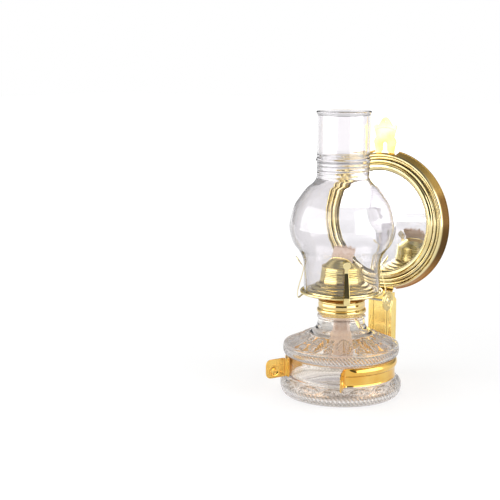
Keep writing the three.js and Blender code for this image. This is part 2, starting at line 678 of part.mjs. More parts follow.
// Outside of the chimney from its foot to its lip, in (radius, height above the foot).
function chimneySide() {
  const bulgeR = CHIMNEY_BULGE_R;
  const bulgeZ = CHIMNEY_BULGE_HEIGHT;
  const lowZ = CHIMNEY_BASE_HEIGHT;
  const pinchZ = CHIMNEY_PINCH_HEIGHT;
  const lower = bulgeZ - lowZ;
  const upper = pinchZ - bulgeZ;
  const swell = new THREE.SplineCurve([
    v2(CHIMNEY_BASE_R, lowZ),
    v2(CHIMNEY_BASE_R + 0.06 * (bulgeR - CHIMNEY_BASE_R), lowZ + 0.16 * lower),
    v2(CHIMNEY_BASE_R + 0.33 * (bulgeR - CHIMNEY_BASE_R), lowZ + 0.33 * lower),
    v2(CHIMNEY_BASE_R + 0.76 * (bulgeR - CHIMNEY_BASE_R), lowZ + 0.52 * lower),
    v2(CHIMNEY_BASE_R + 0.97 * (bulgeR - CHIMNEY_BASE_R), lowZ + 0.76 * lower),
    v2(bulgeR, bulgeZ),
    v2(bulgeR - 0.16 * (bulgeR - CHIMNEY_PINCH_R), bulgeZ + 0.36 * upper),
    v2(bulgeR - 0.36 * (bulgeR - CHIMNEY_PINCH_R), bulgeZ + 0.56 * upper),
    v2(bulgeR - 0.62 * (bulgeR - CHIMNEY_PINCH_R), bulgeZ + 0.76 * upper),
    v2(bulgeR - 0.86 * (bulgeR - CHIMNEY_PINCH_R), bulgeZ + 0.88 * upper),
    v2(CHIMNEY_PINCH_R, pinchZ),
  ]);
  const ribZ = pinchZ + CHIMNEY_RIB_HEIGHT;
  return {
    wall: [v2(CHIMNEY_BASE_R, 0), ...swell.getPoints(14)],
    ribs: [
      v2(CHIMNEY_STACK_R + 0.5 * CHIMNEY_RIB, pinchZ + 0.16 * CHIMNEY_RIB_HEIGHT),
      v2(CHIMNEY_STACK_R + 0.25 * CHIMNEY_RIB, pinchZ + 0.45 * CHIMNEY_RIB_HEIGHT),
      v2(CHIMNEY_STACK_R + 0.5 * CHIMNEY_RIB, pinchZ + 0.65 * CHIMNEY_RIB_HEIGHT),
      v2(CHIMNEY_STACK_R + CHIMNEY_RIB, pinchZ + 0.78 * CHIMNEY_RIB_HEIGHT),
      v2(CHIMNEY_STACK_R + 0.5 * CHIMNEY_RIB, pinchZ + 0.9 * CHIMNEY_RIB_HEIGHT),
    ],
    stack: [v2(CHIMNEY_STACK_R, ribZ), v2(CHIMNEY_STACK_R, CHIMNEY_HEIGHT - 3 * CHIMNEY_LIP)],
    lip: arc(CHIMNEY_STACK_R, CHIMNEY_HEIGHT - CHIMNEY_LIP, CHIMNEY_LIP, -45, 90, 4),
  };
}

function makeChimney() {
  const { wall, ribs, stack, lip } = chimneySide();
  const outside = [...wall, ...ribs, ...stack, ...lip];
  const inset = (p) => v2(p.x - CHIMNEY_WALL, p.y);
  const inside = [...wall, ...stack].map(inset);
  const mouth = v2(CHIMNEY_STACK_R - CHIMNEY_WALL, CHIMNEY_HEIGHT);
  const outline = [...outside, mouth, ...inside.reverse()];
  const chimney = turned(outline, FACETS_LARGE);
  add("chimney_glass", chimney.translate(0, 0, chimneyZ), clearGlass());
}

// ---------------------------------------------------------------- spring clip

// Sector between two angles from the front, as a tall wedge about Z.
function wedge(from, to) {
  const reach = 2 * FONT_BULGE_R;
  const edge = arc(0, 0, reach, from - 90, to - 90, 6);
  const height = strapHeight + 2 * OVERCUT;
  return toSolid(plate([v2(0, 0), ...edge], height).translate(0, 0, strapZ - OVERCUT));
}

// The strap all the way round: a flat band below and a rounded bead above, lipped at both edges.
function strapRing() {
  const line = [
    v2(strapR + CLIP_LIP, strapZ + CLIP_SHEET / 2),
    v2(strapR, strapZ + 2 * CLIP_SHEET),
    v2(strapR, strapBandZ),
    v2(strapR + 0.75 * CLIP_BEAD, strapBandZ + 0.6 * CLIP_BEAD),
    v2(strapR + CLIP_BEAD, (strapBandZ + strapTopZ) / 2),
    v2(strapR + 0.75 * CLIP_BEAD, strapTopZ - CLIP_BEAD),
    v2(strapR + 0.6 * CLIP_LIP, strapTopZ - 1.25 * CLIP_SHEET),
    v2(strapR + CLIP_LIP, strapTopZ - CLIP_SHEET / 2),
  ];
  return toSolid(turned(sheetOutline(line, CLIP_SHEET), FACETS_STRAP));
}

// Finger tab at the end of an arm: a flat ear that stands out from the font. It widens
// upwards once it is past the font's rim.
function fingerTab(turn) {
  const from = strapR;
  const to = strapR + TAB_LENGTH;
  const past = FONT_RIM_R + TAB_CLEARANCE;
  const low = strapZ + TAB_FOOT;
  const rootTop = strapTopZ - TAB_INSET;
  const high = strapTopZ + TAB_RISE;
  const outline = [
    v2(from, low),
    ...arc(to - TAB_CORNER_R, low + TAB_CORNER_R, TAB_CORNER_R, -90, 0, 3),
    ...arc(to - TAB_CORNER_R, high - TAB_CORNER_R, TAB_CORNER_R, 0, 90, 3),
    v2(past + TAB_RISE, high),
    v2(past, rootTop),
    v2(from, rootTop),
  ];
  return sidePlate(outline, 0, CLIP_SHEET)
    .rotateZ(Math.PI)
    .translate(0, strapR, 0)
    .rotateZ(turn)
    .translate(0, -strapR, 0);
}

function makeClip() {
  const ring = strapRing();
  const gap = THREE.MathUtils.radToDeg(SEAT_GAP / strapR);
  const tabAngle = THREE.MathUtils.degToRad(CLIP_MOUTH);
  const tabTurn = THREE.MathUtils.degToRad(TAB_TURN);
  const names = ["clip_arm_left", "clip_arm_right"];
  names.forEach((name, i) => {
    const side = 2 * i - 1;
    const ends = [side * CLIP_MOUTH, side * (180 - CLIP_BACK - gap)].sort((a, b) => a - b);
    const tab = toSolid(fingerTab(-side * tabTurn).rotateZ(side * tabAngle));
    add(name, ring.intersect(wedge(ends[0], ends[1])).add(tab), goldBrass());
  });

  const rivetZ = standoffMiddleZ();
  const hole = rodY(RIVET_SHANK_R + SEAT_GAP, strapR - OVERCUT, strapR + OVERCUT, 0, rivetZ);
  const back = ring.intersect(wedge(180 - CLIP_BACK, 180 + CLIP_BACK)).subtract(toSolid(hole));
  add("clip_back", back, goldBrass());
}

// ---------------------------------------------------------------- standoff

const standoffY = strapR + CLIP_SHEET / 2 + SEAT_GAP;
const standoffBackY = panelY - SEAT_GAP;
const standoffZ = strapZ + 2 * CLIP_SHEET;
const standoffTopZ = strapBandZ - SEAT_GAP;

function standoffMiddleZ() {
  return (standoffZ + standoffTopZ) / 2;
}

function standoffRivetHeights() {
  const quarter = (standoffTopZ - standoffZ) / 4;
  return [standoffMiddleZ() + quarter, standoffMiddleZ() - quarter];
}

// Box of bent sheet between the clip and the channel, open above and below.
function makeStandoff() {
  const half = STANDOFF_WIDTH / 2;
  const outer = rectangle(-half, standoffY, half, standoffBackY);
  const inner = rectangle(
    -half + STANDOFF_SHEET,
    standoffY + STANDOFF_SHEET,
    half - STANDOFF_SHEET,
    standoffBackY - STANDOFF_SHEET,
  );
  const tube = toSolid(plate(outer, standoffTopZ - standoffZ, [inner]).translate(0, 0, standoffZ));
  const middleY = (standoffY + standoffBackY) / 2;
  const holeR = RIVET_SHANK_R + SEAT_GAP;
  const front = rodY(holeR, standoffY - OVERCUT, middleY, 0, standoffMiddleZ());
  const backHoles = standoffRivetHeights().map((z) => rodY(holeR, middleY, standoffBackY + OVERCUT, 0, z));
  const standoff = [front, ...backHoles].reduce((solid, hole) => solid.subtract(toSolid(hole)), tube);
  add("clip_standoff", standoff, goldBrass());
}

// A rivet along Y: a shank with a head at one end, or at both.
function rivetY(from, to, x, z, headAtFrom, headAtTo) {
  const outline = [v2(0, from)];
  if (headAtFrom) {
    outline.push(v2(RIVET_HEAD_R, from + 0.4 * RIVET_HEAD));
    outline.push(v2(RIVET_HEAD_R, from + RIVET_HEAD));
    outline.push(v2(RIVET_SHANK_R, from + RIVET_HEAD));
  } else {
    outline.push(v2(RIVET_SHANK_R, from));
  }
  if (headAtTo) {
    outline.push(v2(RIVET_SHANK_R, to - RIVET_HEAD));
    outline.push(v2(RIVET_HEAD_R, to - RIVET_HEAD));
    outline.push(v2(RIVET_HEAD_R, to - 0.4 * RIVET_HEAD));
  } else {
    outline.push(v2(RIVET_SHANK_R, to));
  }
  outline.push(v2(0, to));
  return turned(outline, FACETS_SMALL).rotateX(-Math.PI / 2).translate(x, 0, z);
}

function makeClipRivets() {
  const clipHead = standoffY + STANDOFF_SHEET + SEAT_GAP + RIVET_HEAD;
  const clipRivet = rivetY(strapR - CLIP_SHEET / 2, clipHead, 0, standoffMiddleZ(), false, true);
  add("clip_rivet", clipRivet, goldBrass());
  const from = standoffBackY - STANDOFF_SHEET - SEAT_GAP - RIVET_HEAD;
  const to = panelY + BRACKET_SHEET + SEAT_GAP + RIVET_HEAD;
  const names = ["standoff_rivet_upper", "standoff_rivet_lower"];
  standoffRivetHeights().forEach((z, i) => {
    add(names[i], rivetY(from, to, 0, z, true, true), goldBrass());
  });
}

// ---------------------------------------------------------------- bracket

// Front outline of the bracket: channel, shoulders, the strap behind the reflector, and
// the leaf-shaped hanger with its lobes.
function bracketFront() {
  const half = BRACKET_WIDTH / 2;
  const neck = BRACKET_NECK_WIDTH / 2;
  const lobe = LEAF_HALF_WIDTH;
  const up = LEAF_HEIGHT;
  const right = new THREE.Path();
  right.moveTo(half - BRACKET_CORNER, BRACKET_FOOT);
  right.quadraticCurveTo(half, BRACKET_FOOT, half, BRACKET_FOOT + BRACKET_CORNER);
  right.lineTo(half, panelTopZ - BRACKET_STEP);
  right.lineTo(neck, panelTopZ - 0.5 * BRACKET_STEP);
  right.lineTo(neck, leafZ - 0.2 * up);
  right.lineTo(0.78 * lobe, leafZ + 0.03 * up);
  right.quadraticCurveTo(0.86 * lobe, leafZ + 0.2 * up, 0.95 * lobe, leafZ + 0.3 * up);
  right.quadraticCurveTo(0.93 * lobe, leafZ + 0.37 * up, 0.76 * lobe, leafZ + 0.44 * up);
  right.quadraticCurveTo(0.84 * lobe, leafZ + 0.6 * up, lobe, leafZ + 0.73 * up);
  right.quadraticCurveTo(0.96 * lobe, leafZ + 0.82 * up, 0.6 * lobe, leafZ + 0.77 * up);
  right.quadraticCurveTo(0.4 * lobe, leafZ + 0.88 * up, 0.24 * lobe, leafZ + 0.96 * up);
  right.quadraticCurveTo(0.1 * lobe, leafZ + up, 0, leafZ + up);
  const points = right.getPoints(4);
  const mirrored = points
    .filter((p) => p.x > 0)
    .reverse()
    .map((p) => v2(-p.x, p.y));
  return [...points, ...mirrored];
}

// Keyhole: a round mouth below for the screw's head and a narrow slot above for its neck.
function keyhole() {
  const slot = KEYHOLE_SLOT_WIDTH / 2;
  const mouthZ = keyholeTopZ - KEYHOLE_LENGTH;
  const open = THREE.MathUtils.radToDeg(Math.asin(slot / KEYHOLE_MOUTH_R));
  return [
    ...arc(0, mouthZ, KEYHOLE_MOUTH_R, 90 + open, 450 - open, 10),
    ...arc(0, keyholeTopZ - slot, slot, 0, 180, 5),
  ];
}

function makeBracket() {
  const half = BRACKET_WIDTH / 2;
  const middle = BRACKET_SHEET / 2;
  const sideLine = [
    v2(panelY + middle, BRACKET_FOOT - OVERCUT),
    v2(panelY + middle, panelTopZ - BRACKET_STEP),
    v2(leafY + middle, panelTopZ),
    v2(leafY + middle, leafTopZ + OVERCUT),
  ];
  const sheet = toSolid(sidePlate(sheetOutline(sideLine, BRACKET_SHEET), 0, BRACKET_WIDTH + OVERCUT));
  const through = BRACKET_DEPTH + 2 * OVERCUT;
  const front = toSolid(standingPlate(bracketFront(), panelY - OVERCUT, through));
  const key = toSolid(standingPlate(keyhole(), panelY - OVERCUT, through));
  const neckZ0 = panelTopZ - BRACKET_NECK_HEIGHT;
  const neckZ1 = panelTopZ - BRACKET_STEP - BOND;
  const flangeOutline = [
    v2(panelY + BOND, BRACKET_FOOT + BRACKET_CORNER),
    v2(panelY + BRACKET_CORNER, BRACKET_FOOT),
    v2(wallY, BRACKET_FOOT),
    v2(wallY, neckZ0),
    v2(panelY + BRACKET_NECK_DEPTH, neckZ0 + BRACKET_STEP),
    v2(panelY + BRACKET_NECK_DEPTH, neckZ1),
    v2(panelY + BOND, neckZ1),
  ];
  const flanges = [-1, 1].map((side) =>
    toSolid(sidePlate(flangeOutline, side * (half - BRACKET_SHEET / 2), BRACKET_SHEET)),
  );
  const ribX = half - BRACKET_RIB_INSET;
  const ribFrom = standoffTopZ + BRACKET_CORNER;
  const ribOutline = [
    v2(-BRACKET_RIB_WIDTH / 2, BOND),
    v2(BRACKET_RIB_WIDTH / 2, BOND),
    v2(0.25 * BRACKET_RIB_WIDTH, -BRACKET_RIB),
    v2(-0.25 * BRACKET_RIB_WIDTH, -BRACKET_RIB),
  ];
  const ribs = [-1, 1].map((side) =>
    toSolid(plate(ribOutline, neckZ1 - ribFrom).translate(side * ribX, panelY, ribFrom)),
  );
  const holeR = RIVET_SHANK_R + SEAT_GAP;
  const rivetHeights = [...standoffRivetHeights(), ...reflectorRivetHeights()];
  const holes = rivetHeights.map((z) => toSolid(rodY(holeR, panelY - OVERCUT, leafY + OVERCUT, 0, z)));
  const joined = [...flanges, ...ribs].reduce((solid, piece) => solid.add(piece), sheet.intersect(front));
  const bracket = [key, ...holes].reduce((solid, hole) => solid.subtract(hole), joined);
  add("wall_bracket", bracket, goldBrass());
}

// ---------------------------------------------------------------- reflector

function reflectorRivetHeights() {
  return [MIRROR_HEIGHT + REFLECTOR_RIVET_SPACING / 2, MIRROR_HEIGHT - REFLECTOR_RIVET_SPACING / 2];
}

// A solid turned about Z becomes one about the mirror's own axis: heights become depths along +Y.
const facing = (geometry) => geometry.rotateX(-Math.PI / 2).translate(0, 0, MIRROR_HEIGHT);

// Moulded ring with two beads, a plain band and a wall that flares back to a rolled edge.
function makeFrame() {
  const lipY = MIRROR_DISTANCE - SEAT_GAP - FRAME_SHEET / 2;
  const bead = (r, width, height) => [
    v2(r, lipY),
    v2(r + 0.22 * width, lipY - 0.75 * height),
    v2(r + 0.5 * width, lipY - height),
    v2(r + 0.78 * width, lipY - 0.75 * height),
  ];
  const smallBeadR = MIRROR_SIGHT_R + FRAME_BEAD_WIDTH;
  const grooveR = smallBeadR + FRAME_SMALL_BEAD_WIDTH;
  const backY = MIRROR_DISTANCE + FRAME_DEPTH;
  const line = [
    ...bead(MIRROR_SIGHT_R, FRAME_BEAD_WIDTH, FRAME_BEAD),
    ...bead(smallBeadR, FRAME_SMALL_BEAD_WIDTH, 0.6 * FRAME_BEAD),
    v2(grooveR, lipY),
    v2(grooveR + 0.3 * FRAME_GROOVE_WIDTH, lipY + FRAME_GROOVE),
    v2(grooveR + 0.7 * FRAME_GROOVE_WIDTH, lipY + FRAME_GROOVE),
    v2(grooveR + FRAME_GROOVE_WIDTH, lipY - FRAME_CREASE),
    v2(FRAME_BAND_R - FRAME_CREASE, lipY + 0.5 * FRAME_CREASE),
    v2(FRAME_BAND_R, lipY + 2 * FRAME_CREASE),
    v2(FRAME_BACK_R - FRAME_CREASE, backY - 3 * FRAME_CREASE),
    v2(FRAME_BACK_R, backY),
  ];
  const sheet = toSolid(facing(turned(sheetOutline(line, FRAME_SHEET), FACETS_LARGE)));
  const roll = arc(FRAME_BACK_R, backY, FRAME_ROLL_R, 0, 300, 5);
  const rolled = sheet.add(toSolid(facing(turned(roll, FACETS_LARGE))));
  const passage = BRACKET_WIDTH / 2 + 2 * SEAT_GAP;
  const notchY = MIRROR_DISTANCE + 0.2 * FRAME_DEPTH;
  const reach = FRAME_BACK_R + OVERCUT;
  const endY = backY + OVERCUT;
  const notch = block(-passage, notchY, MIRROR_HEIGHT - reach, passage, endY, MIRROR_HEIGHT + reach);
  add("reflector_frame", rolled.subtract(toSolid(notch)), paleBrass());
}

function makeMirror() {
  const disc = rodY(MIRROR_R, MIRROR_DISTANCE, mirrorBackY, 0, MIRROR_HEIGHT, FACETS_LARGE);
  add("mirror_glass", disc, mirrorSilver());
}

// Pan behind the mirror: its rim steps forward round the glass and lies against the frame.
function makeBacking() {
  const edgeR = MIRROR_R + SEAT_GAP + BACKING / 2;
  const rimY = MIRROR_DISTANCE + BACKING / 2;
  const line = [
    v2(0, backingY + BACKING / 2),
    v2(edgeR - 2 * BACKING, backingY + BACKING / 2),
    v2(edgeR, mirrorBackY + SEAT_GAP),
    v2(edgeR + 2 * BACKING, rimY),
    v2(MIRROR_SIGHT_R + FRAME_BEAD_WIDTH + 0.7 * FRAME_SMALL_BEAD_WIDTH, rimY),
  ];
  const pan = toSolid(facing(turned(sheetOutline(line, BACKING), FACETS_LARGE)));
  const holeR = RIVET_SHANK_R + SEAT_GAP;
  const holes = reflectorRivetHeights().map((z) =>
    toSolid(rodY(holeR, backingY - OVERCUT, backingY + OVERCUT, 0, z)),
  );
  add("mirror_backing", holes.reduce((solid, hole) => solid.subtract(hole), pan), greySteel());
}

function makeReflectorRivets() {
  const from = backingY - SEAT_GAP - RIVET_HEAD;
  const to = leafY + BRACKET_SHEET + SEAT_GAP + RIVET_HEAD;
  const names = ["reflector_rivet_upper", "reflector_rivet_lower"];
  reflectorRivetHeights().forEach((z, i) => {
    add(names[i], rivetY(from, to, 0, z, true, true), goldBrass());
  });
}

// ---------------------------------------------------------------- build

makeFont();
makeCollar();
makeBurnerBase();
makeGallery();
makeDraftPlate();
makeDome();
makeWickTube();
makeWick();
makeRaiser();
makeProngs();
makeChimney();
makeClip();
makeStandoff();
makeClipRivets();
makeBracket();
makeFrame();
makeMirror();
makeBacking();
makeReflectorRivets();

export default lamp;
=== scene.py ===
# %% [markdown]
# # A wall-bracket oil lamp
#
# A pressed glass font carries a brass burner and a blown glass chimney. A spring clip holds
# the font on a wall bracket, and the bracket carries a round mirror reflector. The packed
# model is the fixed frame: it gives each part's place and what it moves with. This lesson
# dresses it, piece by piece, in finer shapes and real finishes.

# %% Load the frame
import math

import bmesh
import bpy
import numpy as np
from mathutils import Matrix, Vector


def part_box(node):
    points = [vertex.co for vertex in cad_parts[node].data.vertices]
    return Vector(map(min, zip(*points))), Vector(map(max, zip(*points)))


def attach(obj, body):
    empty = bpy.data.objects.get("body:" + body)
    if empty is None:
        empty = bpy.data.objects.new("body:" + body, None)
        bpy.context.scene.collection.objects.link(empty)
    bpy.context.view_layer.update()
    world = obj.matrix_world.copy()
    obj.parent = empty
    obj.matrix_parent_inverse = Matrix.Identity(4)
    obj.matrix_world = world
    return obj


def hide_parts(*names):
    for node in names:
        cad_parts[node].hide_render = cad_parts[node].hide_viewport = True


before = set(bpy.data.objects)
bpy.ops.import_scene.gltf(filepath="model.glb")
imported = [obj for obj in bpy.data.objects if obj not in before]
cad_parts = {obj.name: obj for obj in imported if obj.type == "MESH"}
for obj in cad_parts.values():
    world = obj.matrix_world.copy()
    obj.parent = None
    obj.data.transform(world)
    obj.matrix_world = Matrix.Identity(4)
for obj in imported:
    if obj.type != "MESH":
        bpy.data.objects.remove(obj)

scene = bpy.context.scene
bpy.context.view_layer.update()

# %% [markdown]
# ## Helpers
#
# Lengths are written in millimetres, as on a drawing, and turned to metres when a mesh is
# made. One small function adds a node to any tree, with its settings and its links.

# %% Units, colours and one node helper
MM = 0.001
TAU = 2 * math.pi


def tint(hex_colour, alpha=1.0):
    """An sRGB hex colour as the linear values that shaders work in."""
    parts = [int(hex_colour[i:i + 2], 16) / 255 for i in (1, 3, 5)]
    return (*[c / 12.92 if c <= 0.04045 else ((c + 0.055) / 1.055) ** 2.4 for c in parts], alpha)


def add(tree, kind, inputs=None, out=None, **settings):
    """Adds a node. An input is a value or a socket to link; out picks the socket to return."""
    node = tree.nodes.new(kind)
    for key, value in settings.items():
        setattr(node, key, value)
    for key, value in (inputs or {}).items():
        if isinstance(value, bpy.types.NodeSocket):
            tree.links.new(value, node.inputs[key])
        else:
            node.inputs[key].default_value = value
    return node if out is None else node.outputs[out]


print("mid grey, #808080, is", round(tint("#808080")[0], 3), "in linear light")

# %% [markdown]
# Most shapes start as a line of points in a section drawing. These helpers round a line's
# corners, run a smooth curve through a few points, divide long steps, and give a centre
# line the thickness of a sheet. So a profile can be written with few numbers.

# %% Lines and profiles
def rounded(points, radius, steps=4):
    """An open line with its corners rounded."""
    line = [tuple(points[0])]
    for a, p, b in zip(points, points[1:], points[2:]):
        a, p, b = (np.array(q, float) for q in (a, p, b))
        before, after = a - p, b - p
        reach = min(radius, 0.45 * np.linalg.norm(before), 0.45 * np.linalg.norm(after))
        start = p + before / np.linalg.norm(before) * reach
        end = p + after / np.linalg.norm(after) * reach
        for i in range(steps + 1):
            t = i / steps
            line.append(tuple((1 - t) ** 2 * start + 2 * t * (1 - t) * p + t ** 2 * end))
    return line + [tuple(points[-1])]


def through(points, steps=6):
    """A smooth line through all the points."""
    pts = [np.array(p, float) for p in points]
    pts = [2 * pts[0] - pts[1], *pts, 2 * pts[-1] - pts[-2]]
    line = []
    for a, b, c, d in zip(pts, pts[1:], pts[2:], pts[3:]):
        for i in range(steps):
            t = i / steps
            line.append(tuple(0.5 * (2 * b + (c - a) * t + (2 * a - 5 * b + 4 * c - d) * t ** 2
                                     + (3 * b - a - 3 * c + d) * t ** 3)))
    return line + [tuple(pts[-2])]


def divided(points, longest):
    """The same line with no step longer than this."""
    line = [tuple(points[0])]
    for a, b in zip(points, points[1:]):
        a, b = np.array(a, float), np.array(b, float)
        count = max(1, math.ceil(np.linalg.norm(b - a) / longest))
        line += [tuple(a + (b - a) * (i + 1) / count) for i in range(count)]
    return line


def sheet(line, thickness):
    """A closed outline round a centre line: the section of a sheet."""
    pts = np.array(line, float)
    along = np.gradient(pts, axis=0)
    along /= np.linalg.norm(along, axis=1)[:, None]
    normal = np.stack([-along[:, 1], along[:, 0]], axis=1) * thickness / 2
    normal[pts[:, 0] == 0, 0] = 0
    left = [tuple(p) for p in pts + normal]
    right = [tuple(p) for p in pts - normal]
    return left + right[::-1]


print("a 10 mm square corner rounded to 3 mm has", len(rounded([(0, 0), (10, 0), (10, 10)], 3)), "points")

# %% [markdown]
# ## Geometry node trees
#
# Most of the lamp is turned: spun brass, pressed and blown glass all have one rule, a
# profile that goes round an axis. A geometry node tree follows that rule: it samples the
# profile's points by number and wraps a grid round the axis. A second tree sets copies of
# a piece round the axis, for prongs, rivets, teeth and petals. Later trees cut the font's
# rope bands and scatter the wick's frayed threads. The result is read off as a plain mesh,
# so that nothing live is left on the finished piece. A tree's sizes are named inputs, and
# each is set by its socket's identifier before the tree first runs.

# %% Tree helpers
def new_tree(name, sizes):
    """A geometry tree with a named input for each size. Returns it and its input sockets."""
    tree = bpy.data.node_groups.new(name, "GeometryNodeTree")
    face = tree.interface
    face.new_socket("Geometry", in_out="OUTPUT", socket_type="NodeSocketGeometry")
    face.new_socket("Geometry", in_out="INPUT", socket_type="NodeSocketGeometry")
    for label, kind in {**sizes, "Finish": "NodeSocketMaterial"}.items():
        face.new_socket(label, in_out="INPUT", socket_type=kind)
    return tree, add(tree, "NodeGroupInput").outputs


def end_tree(tree, given, geometry):
    """Ends a tree: real geometry with its material."""
    real = add(tree, "GeometryNodeRealizeInstances", {"Geometry": geometry}, out=0)
    painted = add(tree, "GeometryNodeSetMaterial", {"Geometry": real, "Material": given["Finish"]},
                  out=0)
    add(tree, "NodeGroupOutput", {"Geometry": painted})
    return tree


def grown(tree, source, **sizes):
    """Runs a tree on a source mesh and returns the result as a plain mesh."""
    carrier = bpy.data.objects.new("carrier", source)
    scene.collection.objects.link(carrier)
    modifier = carrier.modifiers.new("Nodes", "NODES")
    modifier.node_group = tree
    for item in tree.interface.items_tree:
        if item.in_out == "INPUT" and item.name in sizes:
            modifier[item.identifier] = sizes[item.name]
    evaluated = carrier.evaluated_get(bpy.context.evaluated_depsgraph_get())
    mesh = bpy.data.meshes.new_from_object(evaluated)
    bpy.data.objects.remove(carrier)
    return mesh


print("geometry trees so far:", len(bpy.data.node_groups))

# %% [markdown]
# A potter's or spinner's shape is a profile that goes round an axis. A Screw modifier could
# turn it too, but it leaves the seam and the poles open. Here a grid has one column for each
# step round the axis and one row for each point of the profile. Each grid point looks up its
# row's profile point and swings it round, and merging by distance closes seam and poles.

# %% The turning tree
SEAM_GAP = 2e-6  # metres within which the seam and the poles close


def turning_tree():
    """Wraps the source's points, in order, round Z: each is a (radius, 0, height)."""
    sizes = {"Segments": "NodeSocketInt", "Start": "NodeSocketFloat", "Turn": "NodeSocketFloat"}
    tree, given = new_tree("Turned round an axis", sizes)
    rows = add(tree, "GeometryNodeAttributeDomainSize", {"Geometry": given["Geometry"]},
               out="Point Count")
    columns = add(tree, "ShaderNodeMath", {0: given["Segments"], 1: 1.0}, out=0, operation="ADD")
    grid = add(tree, "GeometryNodeMeshGrid", {"Vertices X": columns, "Vertices Y": rows}, out="Mesh")
    index = add(tree, "GeometryNodeInputIndex", out=0)
    turn = add(tree, "ShaderNodeMath", {0: index, 1: rows}, out=0, operation="DIVIDE")
    column = add(tree, "ShaderNodeMath", {0: turn}, out=0, operation="FLOOR")
    before = add(tree, "ShaderNodeMath", {0: column, 1: rows}, out=0, operation="MULTIPLY")
    row = add(tree, "ShaderNodeMath", {0: index, 1: before}, out=0, operation="SUBTRACT")
    place = add(tree, "GeometryNodeInputPosition", out=0)
    point = add(tree, "GeometryNodeSampleIndex",
                {"Geometry": given["Geometry"], "Value": place, "Index": row},
                out=0, data_type="FLOAT_VECTOR")
    radius = add(tree, "ShaderNodeSeparateXYZ", {0: point})
    share = add(tree, "ShaderNodeMath", {0: column, 1: given["Segments"]}, out=0, operation="DIVIDE")
    angle = add(tree, "ShaderNodeMath", {0: share, 1: given["Turn"], 2: given["Start"]}, out=0,
                operation="MULTIPLY_ADD")
    arm = add(tree, "ShaderNodeCombineXYZ", {"X": radius.outputs["X"], "Z": radius.outputs["Z"]}, out=0)
    turned_point = add(tree, "ShaderNodeVectorRotate", {"Vector": arm, "Angle": angle}, out=0,
                       rotation_type="Z_AXIS")
    wrapped = add(tree, "GeometryNodeSetPosition", {"Geometry": grid, "Position": turned_point}, out=0)
    closed = add(tree, "GeometryNodeMergeByDistance", {"Geometry": wrapped, "Distance": SEAM_GAP}, out=0)
    return end_tree(tree, given, closed)


TURNING = turning_tree()
print("tree:", TURNING.name)

# %% [markdown]
# Prongs, rivets, knob teeth and petals repeat round an axis. This tree sets a copy of its
# source at each even angle, from a start angle on. With a count of one it just turns a piece
# to its place, so one mesh serves all four prongs, each on its own body.

# %% The tree for copies round the axis
def ring_tree():
    """Sets copies of the source round Z."""
    tree, given = new_tree("Copies round an axis", {"Count": "NodeSocketInt", "Start": "NodeSocketFloat"})
    points = add(tree, "GeometryNodePoints", {"Count": given["Count"]}, out=0)
    index = add(tree, "GeometryNodeInputIndex", out=0)
    share = add(tree, "ShaderNodeMath", {0: index, 1: given["Count"]}, out=0, operation="DIVIDE")
    turn = add(tree, "ShaderNodeMath", {0: share, 1: TAU, 2: given["Start"]}, out=0,
               operation="MULTIPLY_ADD")
    spin = add(tree, "ShaderNodeCombineXYZ", {"Z": turn}, out=0)
    copies = add(tree, "GeometryNodeInstanceOnPoints",
                 {"Points": points, "Instance": given["Geometry"], "Rotation": spin}, out=0)
    return end_tree(tree, given, copies)


RING = ring_tree()
print("tree:", RING.name)

# %% [markdown]
# A profile becomes a mesh of points for the turning tree, and hand-made shapes come from
# lists of corners and faces. Many are rows of points, so one helper gives their faces.

# %% Meshes from points and faces
def from_points(points):
    """A profile of (radius, height) as a string of points, in order."""
    mesh = bpy.data.meshes.new("profile")
    links = [(i, i + 1) for i in range(len(points) - 1)]
    mesh.from_pydata([(x * MM, 0, z * MM) for x, z in points], links, [])
    return mesh


def from_faces(vertices, faces):
    """A mesh from corners in millimetres."""
    mesh = bpy.data.meshes.new("faces")
    mesh.from_pydata([tuple(c * MM for c in v) for v in vertices], [], faces)
    return mesh


def grid_faces(rows, columns, closed=False):
    """The faces between rows of points numbered row by row. A closed grid joins its sides."""
    return [(i * columns + j, i * columns + (j + 1) % columns,
             (i + 1) * columns + (j + 1) % columns, (i + 1) * columns + j)
            for i in range(rows - 1) for j in range(columns if closed else columns - 1)]


print("a tube of 4 rings of 3 points has", len(grid_faces(4, 3, closed=True)), "faces")

# %% [markdown]
# Every mesh is cleaned before it is used: doubles are merged, open ends closed, and every
# face pointed outwards, because glass bends light by that side.

# %% Clean, turned and joined meshes
def outward(mesh):
    """Merges doubles, closes open ends and points every face outwards."""
    work = bmesh.new()
    work.from_mesh(mesh)
    bmesh.ops.remove_doubles(work, verts=work.verts, dist=1e-6)
    bmesh.ops.dissolve_degenerate(work, dist=1e-7, edges=work.edges)
    bmesh.ops.holes_fill(work, edges=work.edges)
    bmesh.ops.recalc_face_normals(work, faces=work.faces)
    work.to_mesh(mesh)
    work.free()
    return mesh


def open_edges(mesh):
    """How many edges don't have just two faces: none on a closed wall."""
    work = bmesh.new()
    work.from_mesh(mesh)
    count = sum(not edge.is_manifold for edge in work.edges)
    work.free()
    return count


def turned(profile, segments, axis_y=None, start=0.0, turn=TAU):
    """A profile of (radius, height) turned round Z, or round the mirror's axis along Y."""
    ends_on_axis = profile[0][0] == 0 and profile[-1][0] == 0
    loop = profile if ends_on_axis else [*profile, profile[0]]
    mesh = outward(grown(TURNING, from_points(loop), Segments=segments, Start=start, Turn=turn))
    if axis_y is not None:
        mesh.transform(Matrix.Translation((0, 0, axis_y * MM)) @ Matrix.Rotation(-math.pi / 2, 4, "X"))
    return mesh


def joined(meshes):
    """Several meshes in one."""
    work = bmesh.new()
    for mesh in meshes:
        work.from_mesh(mesh)
    result = bpy.data.meshes.new("joined")
    work.to_mesh(result)
    work.free()
    return result

